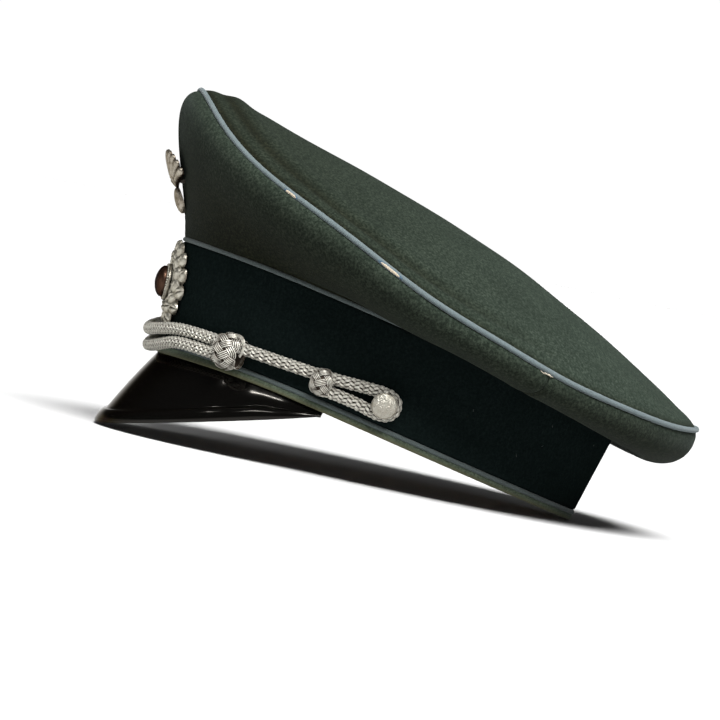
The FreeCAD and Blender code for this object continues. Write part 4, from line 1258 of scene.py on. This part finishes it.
def make_wreath(metal):
    """Two sprays of laurel from a bound stem at the foot, round an open eye."""
    stem_half_width = 4.6
    stem_half_depth = 0.7
    leaf_half_width = 3.7
    leaf_height = 2.7
    stations = 7
    first = 14
    span = 158
    turn = np.linspace(0, 2 * math.pi, 97)[:-1]
    stem = xyz(14.6 * np.sin(turn), 12.4 * np.cos(turn), stem_half_depth)
    sections = tube(stem, np.broadcast_to(UP, stem.shape), stem_half_width, stem_half_depth, 12, True)
    points, faces = loft(sections, True)
    parts = [(points, faces, {"hollow": np.full(len(points), 0.75)})]
    for way in (1, -1):
        for index in range(stations):
            turn = math.radians(-90 + way * (first + span * index / (stations - 1)))
            x = 14.0 * math.cos(turn)
            y = 12.0 * math.sin(turn)
            heading = math.degrees(turn) + way * 90
            size = 1.0 - 0.16 * index / stations
            for splay, length, shift, lift in SPRAY:
                part = leaf_part(length * size, leaf_half_width * size, leaf_height)
                off_x = shift * math.cos(turn)
                off_y = shift * math.sin(turn)
                parts.append(put(part, x + off_x, y + off_y, heading + splay * way, lift, tilt=2.0))
        for index in range(4):
            turn = math.radians(-90 + way * (30 + 38 * index))
            parts.append(berry(13.2 * math.cos(turn), 11.0 * math.sin(turn), 2.2, 0.95))
    for shift in (-2.2, 0.0, 2.2):
        parts.append(put(leaf_part(6.6, 1.1, 1.5, groove=0.0), shift - 0.2, -15.6, 90 + shift * 6, 1.1))
    placed = band_spot(0, ROUNDEL_HEIGHT).place([bent(part, radius=72.0, out=0.35) for part in parts])
    finished(merged("laurel_wreath", placed, metal, 60), "root", "silver_metal", "wreath")


def berry(x, y, z, radius):
    share = np.linspace(0.02, 0.98, 10) * math.pi
    points, faces, values = disc_part(radius * np.sin(share), radius * np.cos(share), 16)
    values["hollow"][:] = 0.25
    return points + np.array([x, y, z]), faces, values


def make_roundel(metal, copper):
    """A plain polished boss set in a ring of small beads."""
    spot = band_spot(0, ROUNDEL_HEIGHT)
    base = 3.6
    thick = 1.8
    bead_circle = 8.05
    beads = 40
    radii = [0.1, 7.0, 7.3, 7.6, 8.2, 8.6, 8.7, 8.6, 0.1]
    heights = [1.7, 1.7, 1.4, 1.5, 1.4, 1.0, 0.5, 0.02, 0.02]
    parts = [disc_part(radii, np.array(heights) + base, 96, [0.6] * 9)]
    for index in range(beads):
        turn = 2 * math.pi * index / beads
        parts.append(berry(bead_circle * math.cos(turn), bead_circle * math.sin(turn), base + 1.35, 0.55))
    made = merged("roundel_ring", spot.place(parts), metal, 60)
    finished(made, "root", "silver_metal", "roundel_base")
    share = np.linspace(0.01, 1, 40)
    dome = base + thick + 0.5 + 4.0 * np.sqrt(np.maximum(0, 1 - (share * 0.97) ** 2)) ** 1.1
    radii = np.concatenate([share * 7.25, [7.35, 7.3, 0.1]])
    heights = np.concatenate([dome, [base + thick + 0.4, base + thick + 0.05, base + thick + 0.05]])
    made = merged("roundel_boss", spot.place([disc_part(radii, heights)]), copper, 60)
    finished(made, "root", "roundel_metal", "roundel_dome")


FAN_HEIGHT = 67.5
FAN_RIBS = 9
FAN_FIRST_RIB = 20
FAN_LAST_RIB = 160
BOSS_DROP = 5.6
BOSS_RADIUS = 6.3


def fan_spot():
    share = np.linspace(0.2, 0.8, 601)
    heights = side_point(np.zeros(601), share)[:, 2]
    along = share[int(np.argmax(heights >= FAN_HEIGHT))]
    point = side_point(np.array(0.0), np.array(along))
    outward = unit(point - side_point(np.array(0.0), np.array(along), 1.0))
    upward = np.cross(outward, np.array([1.0, 0, 0]))
    return Spot(point, np.cross(upward, outward), upward, outward)


def fan_part():
    """Ribs that spread from the boss and end in round lobes."""
    start = 0.8
    spread = math.radians(FAN_LAST_RIB - FAN_FIRST_RIB)
    angles = np.radians(np.linspace(FAN_FIRST_RIB, FAN_LAST_RIB, FAN_RIBS * 14 + 1))
    turn, along = np.meshgrid(angles, np.linspace(0, 1, 30), indexing="ij")
    lobe = np.abs(np.sin((turn - math.radians(FAN_FIRST_RIB)) / spread * FAN_RIBS * math.pi))
    reach = 16.9 + 1.9 * lobe**0.6
    radius = start + (reach - start) * along
    relief = 1.0 + 1.9 * lobe**0.7 * np.clip(along * 2.4, 0, 1) * np.sqrt(np.maximum(0.0, 1.02 - along**6))
    x = radius * np.cos(turn)
    y = radius * np.sin(turn)
    points, faces = loft(out_and_back(xyz(x, y, relief), xyz(x, y, 0)), False, "strip")
    hollow = np.concatenate([np.clip(1 - lobe * 1.3, 0, 1), np.ones_like(lobe)], 1)
    return points, faces, {"hollow": hollow}


def make_fan_badge(metal):
    """A shell-like fan that spreads from a smooth boss and leans back with the crown."""
    pivot = 13.0
    drop = 3.0
    lean = math.radians(8.0)
    share = np.linspace(0.01, 1, 24)
    dome = 0.9 + 2.3 * np.sqrt(np.maximum(0, 1 - share**2))
    radii = np.concatenate([share * BOSS_RADIUS, [BOSS_RADIUS + 0.1, 0.1]])
    boss = disc_part(radii, np.concatenate([dome, [0.02, 0.02]]), 72)
    parts = []
    for part in (fan_part(), put(boss, 0, -BOSS_DROP, 0)):
        points, faces, values = bent(part, radius=50.0, out=0.6)
        up = points[:, 1] + pivot
        y = up * math.cos(lean) - points[:, 2] * math.sin(lean) - pivot - drop
        z = up * math.sin(lean) + points[:, 2] * math.cos(lean)
        parts.append((xyz(points[:, 0], y, z), faces, values))
    made = merged("fan_emblem", fan_spot().place(parts), metal, 60)
    finished(made, "root", "silver_metal", "fan_badge")


# ------------------------------ inside


def make_sweatband(skin, thread):
    """The leather lining of the band, its row of stitches, and the strip over its join."""
    inset = 4.3
    thick = 1.2
    tall = 45.0
    stitch_height = 3.2

    def foot(angle):
        return band_foot(angle) - 3.0

    def head(angle):
        return foot(angle) + tall

    def outer(turn, share):
        return -inset - 0.2 * bell(share, 0.03) + 0 * turn

    def inner(turn, share):
        return -inset - thick + 0.5 * bell(share, 0.02) + 0 * turn

    def stitch_line(angle):
        return band_point(angle, foot(angle) + stitch_height, -inset - thick - 0.06)

    band_sheet("sweatband_skin", outer, inner, foot, head, skin, "sweatband_leather", "sweatband",
               rows=40, wave=0.35, seed=8)
    make_stitches("sweatband_stitches", stitch_line, thread, pitch=3.2, radius=0.16, gap=0.25)
    angle = np.linspace(177.0, 183.0, 13)
    share = np.linspace(0, 1, 30)
    turn = np.repeat(angle[:, None], len(share), 1)
    height = foot(turn) + 1.0 + 43.0 * share[None, :]
    puff = 0.35 * np.sin(np.linspace(0, math.pi, 13))[:, None]
    back = band_point(turn, height, -inset - thick - 0.05)
    front = band_point(turn, height, -inset - thick - 0.5 - puff)
    made = solid("sweatband_join_strip", out_and_back(front, back), skin, False, "strip")
    finished(made, "root", "sweatband_leather", "sweatband_seam_strip")


def make_stitches(name, path, thread, pitch, radius, gap):
    """Short threads that lie on a path given by angle, a pitch apart."""
    line, _ = resampled(path(np.linspace(0, 360, 1441)), 0.4)
    _, along = resampled(line, 0.4)
    bow = np.sin(np.linspace(0, math.pi, 6))[:, None]
    parts = []
    for index in range(int(along[-1] / pitch)):
        at = np.linspace(index * pitch, (index + 1 - gap) * pitch, 6)
        points = np.stack([np.interp(at, along, line[:, i]) for i in range(3)], -1)
        out = outward_at(points)
        points = points - out * (bow * radius * 0.9)
        sections = tube(points, out, radius * (0.45 + 0.55 * bow[:, 0]), sides=6)
        parts.append((*loft(sections, False), {}))
    finished(merged(name, parts, thread, 80), "root", "lining_cloth")


LINING_SCALE = 0.9
LINING_DROP = 7.5
LINING_THICK = 0.5


def make_lining_top(satin):
    rings = np.concatenate([[CENTRE_RING], np.linspace(0.03, 1, 60)]) * LINING_SCALE
    reach, turn = np.meshgrid(rings, np.arange(0, 360, 1.5), indexing="ij")
    x, y = crown_plan(turn, reach)
    points = xyz(x, y, top_height(x, y, False) - LINING_DROP)
    points[..., 2] += 0.5 * ripple(points, 34.0, 31) * np.minimum(1, (LINING_SCALE - reach) * 20)
    rows = np.concatenate([points, (points - UP * LINING_THICK)[::-1]])
    finished(solid("lining_top_satin", rows, satin, False), "root", "lining_cloth", "lining_top")


def make_lining_side(satin):
    """Satin that hangs from the edge of the lining's top and is gathered into the band."""
    angle = np.arange(0, 360, 0.75)
    head = band_head(angle)
    x, y = crown_plan(angle, LINING_SCALE)
    gathered = 0.27
    corners = np.array([
        band_point(angle, head - 10.0, -3.2),
        band_point(angle, head - 3.0, -3.2),
        band_point(angle, head + 5.0, -5.0),
        xyz(x, y, top_height(x, y, False) - LINING_DROP - LINING_THICK - 0.3),
    ])
    share = np.linspace(0, 1, 28)
    lengths = (0, 0.12, gathered, 1.0)
    spine = [[np.interp(share, lengths, corners[:, i, c]) for c in range(3)] for i in range(len(angle))]
    spine = np.array(spine).transpose(0, 2, 1)
    fold = 0.55 * np.sin(np.radians(angle) * 90 + 2 * np.sin(np.radians(angle) * 7))[:, None]
    fold = fold * np.sin(np.clip((share - gathered) / (1 - gathered), 0, 1) * math.pi)[None, :]
    inward = -band_normal(angle)[:, None]
    outer = spine + inward * (0.6 + fold[..., None]) * (share[None, :, None] > gathered)
    made = solid("lining_side_satin", out_and_back(outer, outer + inward * LINING_THICK), satin, True)
    finished(made, "root", "lining_cloth", "lining_side")


def make_guard(film):
    """The clear diamond over the middle of the lining's top."""
    half_width = 30.0
    half_length = 45.0
    thick = 0.4
    drop = LINING_DROP + LINING_THICK + 0.6
    u = np.linspace(-1, 1, 41)
    a, b = np.meshgrid(u, u, indexing="ij")
    x = (a - b) / 2 * half_width
    y = (a + b) / 2 * half_length
    z = top_height(x, y, False) - drop
    sections = out_and_back(xyz(x, y, z), xyz(x, y, z - thick))
    finished(solid("lining_guard", sections, film, False, "strip"), "root", "shield_film", "lining_shield")


# ------------------------------ small touches


def make_lint(draw, pale):
    """A little lint on the dark band."""
    fibre = 0.055
    parts = []
    for _ in range(14):
        angle = draw.uniform(15, 345)
        height = draw.uniform(7, 38)
        spot = band_spot(angle, height, 0.05)
        heading = draw.uniform(0, 2 * math.pi)
        length = draw.uniform(0.6, 2.2)
        bend = draw.uniform(-0.5, 0.5)
        t = np.linspace(0, 1, 7)
        x = t * length * math.cos(heading) + bend * np.sin(t * math.pi) * math.sin(heading)
        y = t * length * math.sin(heading) + bend * np.sin(t * math.pi) * math.cos(heading)
        z = 0.15 + 0.25 * np.sin(t * math.pi)
        line = spot.at(xyz(x, y, z))
        parts.append((*loft(tube(line, outward_at(line), fibre, sides=5), False), {}))
    finished(merged("band_lint", parts, pale, 80), "root", "lining_cloth")


def make_loose_threads(draw, thread):
    """Thread ends that hang from the crown's edge near the side seam."""
    strand = 0.10
    parts = []
    for start, lengths in ((108.6, (5.5, 3.0, 2.2)), (109.6, (4.0, 2.4))):
        for index, length in enumerate(lengths):
            anchor = crown_edge(np.array(start + index * 0.5)) - UP * 1.25
            out = crown_normal(np.array(start))
            forward = np.cross(UP, out)
            t = np.linspace(0, 1, 14)[:, None]
            curl = draw.uniform(0.1, 0.5)
            way = 1 - 2 * (index % 2)
            line = anchor + out * (0.6 + 0.5 * np.sin(t * 3.0)) + forward * (length * (t - 0.4) * way)
            line = line - UP * (curl * np.sin(t * 5.0 + index) + 0.5 * t)
            sections = tube(line, np.broadcast_to(out, line.shape), strand, sides=6)
            parts.append((*loft(sections, False), {}))
    finished(merged("loose_seam_threads", parts, thread, 80), "root", "lining_cloth")


def make_wadding(cotton):
    """The soft roll under the crown's edge, hidden inside."""
    inset = 6.2
    drop = 6.7
    radius = 2.35
    angle = np.arange(0, 360, 2.0)
    centre = crown_edge(angle) - crown_normal(angle) * inset - UP * drop
    uneven = 1 - 0.08 * np.abs(ripple(centre, 9.0, 51))
    sections = tube(centre, crown_normal(angle), radius * uneven, sides=14, closed=True)
    made = solid("crown_edge_roll", sections, cotton, True)
    finished(made, "root", "wadding", "crown_edge_wadding")


def finish_cad_nodes():
    """Materials of the CAD nodes that stay as they are: hidden wire, boards, prongs and backs."""
    brass = plain("brass", (0.55, 0.36, 0.12), (0.36, 0.22, 0.08), 1.5, 0.4, metal=1.0, depth=0.03)
    steel = plain("spring_steel", (0.42, 0.42, 0.42), (0.28, 0.27, 0.25), 1.5, 0.35, metal=1.0, depth=0.02)
    board = plain("fibre_board", (0.28, 0.21, 0.12), (0.20, 0.15, 0.09), 3.0, 0.85)
    iron = plain("dark_prongs", (0.060, 0.052, 0.042), (0.035, 0.030, 0.025), 1.5, 0.5, 0.8, depth=0.03)
    back = plain("button_back_metal", (0.50, 0.47, 0.41), (0.34, 0.31, 0.26), 1.5, 0.4, 1.0, depth=0.02)
    wanted = {"wire_ferrule": brass, "crown_wire_ring": steel}
    wanted.update(front_stiffener=board, band_stiffener=board)
    for side in ("left", "right"):
        wanted[side + "_button_back"] = back
        wanted[side + "_button_prongs"] = brass
        wanted[side + "_button_washer"] = brass
    for name in ("fan_badge_prongs", "wreath_prongs", "roundel_prongs"):
        wanted[name] = iron
    for name, material in wanted.items():
        data = frame["nodes"][name].data
        data.materials.clear()
        data.materials.append(material)


# ------------------------------ camera and light

CAMERA_DISTANCE = 2400.0
CAMERA_SWING = 7.0
CAMERA_ROLL = 23.93
CAMERA_TARGET = np.array([0.0, -16.1, 24.7])
LENS = 256.56

# The surroundings are white near the floor and dark above: the Z of a direction, and the strength there.
SKY_FADE = {"From Min": 0.10, "From Max": 0.22, "To Min": 1.02, "To Max": 0.08}
SUN_DIRECTION = (-0.561, -0.119, -0.819)
SUN_STRENGTH = 8.1
SUN_ANGLE = 34.0


def make_camera():
    """A long lens level with the band, a little forward of the cap's left side, and rolled."""
    back = np.array([cos_d(CAMERA_SWING), -sin_d(CAMERA_SWING), 0.0])
    right = np.array([sin_d(CAMERA_SWING), cos_d(CAMERA_SWING), 0.0])
    image_right = right * cos_d(CAMERA_ROLL) + UP * sin_d(CAMERA_ROLL)
    image_up = UP * cos_d(CAMERA_ROLL) - right * sin_d(CAMERA_ROLL)
    data = bpy.data.cameras.new("camera")
    data.lens = LENS
    data.sensor_width = 36.0
    camera = bpy.data.objects.new("camera", data)
    bpy.context.scene.collection.objects.link(camera)
    columns = [HEAD_TURN @ image_right, HEAD_TURN @ image_up, HEAD_TURN @ back]
    turn = Matrix(np.array(columns).T.tolist()).to_4x4()
    place = to_row(CAMERA_TARGET + back * CAMERA_DISTANCE)
    camera.matrix_world = Matrix.Translation(Vector(place)) @ turn
    bpy.context.scene.camera = camera


VISOR_FLANK = np.array([70.3, -57.9, -7.3])


def make_window(name, azimuth, elevation, width, height, power):
    """A thin lamp whose glint shows in the lacquer on the left flank of the visor."""
    distance = 1.2
    flank = Vector(to_row(VISOR_FLANK))
    level = cos_d(elevation)
    toward = Vector((level * cos_d(azimuth), level * sin_d(azimuth), sin_d(elevation)))
    data = bpy.data.lights.new(name, "AREA")
    data.shape = "RECTANGLE"
    data.size = width
    data.size_y = height
    data.energy = power
    lamp = bpy.data.objects.new(name, data)
    lamp.location = flank + toward * distance
    lamp.rotation_mode = "QUATERNION"
    lamp.rotation_quaternion = (-toward).to_track_quat("-Z", "Y")
    bpy.context.scene.collection.objects.link(lamp)


def make_floor():
    floor_material = Shader("pale_floor")
    pale = floor_material.mix(floor_material.noise(400.0), (0.50, 0.50, 0.50), (0.53, 0.53, 0.53))
    floor_material.set(Base_Color=pale, Roughness=0.9, Specular_IOR_Level=0.0)
    size = 30.0
    below = -0.0002
    corners = [(x * size, y * size, below) for x, y in ((-1, -1), (1, -1), (1, 1), (-1, 1))]
    floor = mesh_object("floor", np.array(corners), [[0, 1, 2, 3]], floor_material.material, raw=True)


def make_surroundings():
    world = bpy.data.worlds.new("studio")
    bpy.context.scene.world = world
    world.use_nodes = True
    nodes = world.node_tree.nodes
    links = world.node_tree.links
    heading = nodes.new("ShaderNodeTexCoord").outputs["Generated"]
    height = nodes.new("ShaderNodeSeparateXYZ")
    links.new(heading, height.inputs[0])
    fade = nodes.new("ShaderNodeMapRange")
    fade.interpolation_type = "SMOOTHSTEP"
    for key, value in SKY_FADE.items():
        fade.inputs[key].default_value = value
    links.new(height.outputs["Z"], fade.inputs["Value"])
    background = nodes["Background"]
    background.inputs["Color"].default_value = (1, 1, 1, 1)
    links.new(fade.outputs["Result"], background.inputs["Strength"])


def make_overhead_light():
    """A wide, soft light from above."""
    sky = bpy.data.lights.new("wide_overhead", "SUN")
    sky.energy = SUN_STRENGTH
    sky.angle = math.radians(SUN_ANGLE)
    lamp = bpy.data.objects.new("wide_overhead", sky)
    lamp.rotation_mode = "QUATERNION"
    lamp.rotation_quaternion = Vector(SUN_DIRECTION).to_track_quat("-Z", "Y")
    bpy.context.scene.collection.objects.link(lamp)


def make_stage():
    make_floor()
    make_surroundings()
    make_overhead_light()
    make_window("long_window", azimuth=-45.1, elevation=48.6, width=0.36, height=0.012, power=1.7)
    make_window("small_window", azimuth=-83.5, elevation=46.6, width=0.03, height=0.03, power=0.32)
    bpy.context.scene.view_settings.view_transform = "Standard"


# ------------------------------ build


def main():
    wool = crown_wool()
    braid = silver_braid()
    core = core_in_painted_shade()
    thread = plain("linen_thread", (0.62, 0.56, 0.45), (0.45, 0.40, 0.32), 0.4, 0.8)
    lint = plain("pale_lint", (0.075, 0.085, 0.080), (0.045, 0.052, 0.050), 0.4, 0.9)
    metal = old_silver("old_silver", (0.52, 0.50, 0.43), (0.36, 0.335, 0.275), (0.055, 0.035, 0.020))
    button = old_silver("button_silver", (0.43, 0.415, 0.36), (0.33, 0.31, 0.26), (0.10, 0.075, 0.045),
                        pebbles=0.78)
    copper = old_silver("dark_copper", (0.075, 0.042, 0.028), (0.040, 0.022, 0.015), (0.018, 0.010, 0.007))
    make_crown_top(wool)
    make_crown_sides(wool)
    make_pipings()
    make_band(band_cloth())
    make_binding(binding_cloth())
    make_visor(visor_lacquer(), visor_underside())
    make_chin_cords(braid, core)
    make_large_knots(braid, core)
    make_small_knots(braid, core)
    make_buttons(button)
    make_wreath(metal)
    make_roundel(metal, copper)
    brown = old_silver("browned_silver", (0.42, 0.385, 0.32), (0.20, 0.17, 0.13), (0.04, 0.026, 0.016))
    make_fan_badge(brown)
    make_sweatband(leather(), thread)
    satin = lining_satin()
    make_lining_top(satin)
    make_lining_side(satin)
    make_guard(clear_film())
    draw = np.random.default_rng(41)
    make_lint(draw, lint)
    make_loose_threads(draw, thread)
    make_wadding(plain("cotton_wadding", (0.55, 0.50, 0.42), (0.42, 0.38, 0.32), 3.0, 0.95, depth=0.5))
    finish_cad_nodes()
    make_camera()
    make_stage()


main()
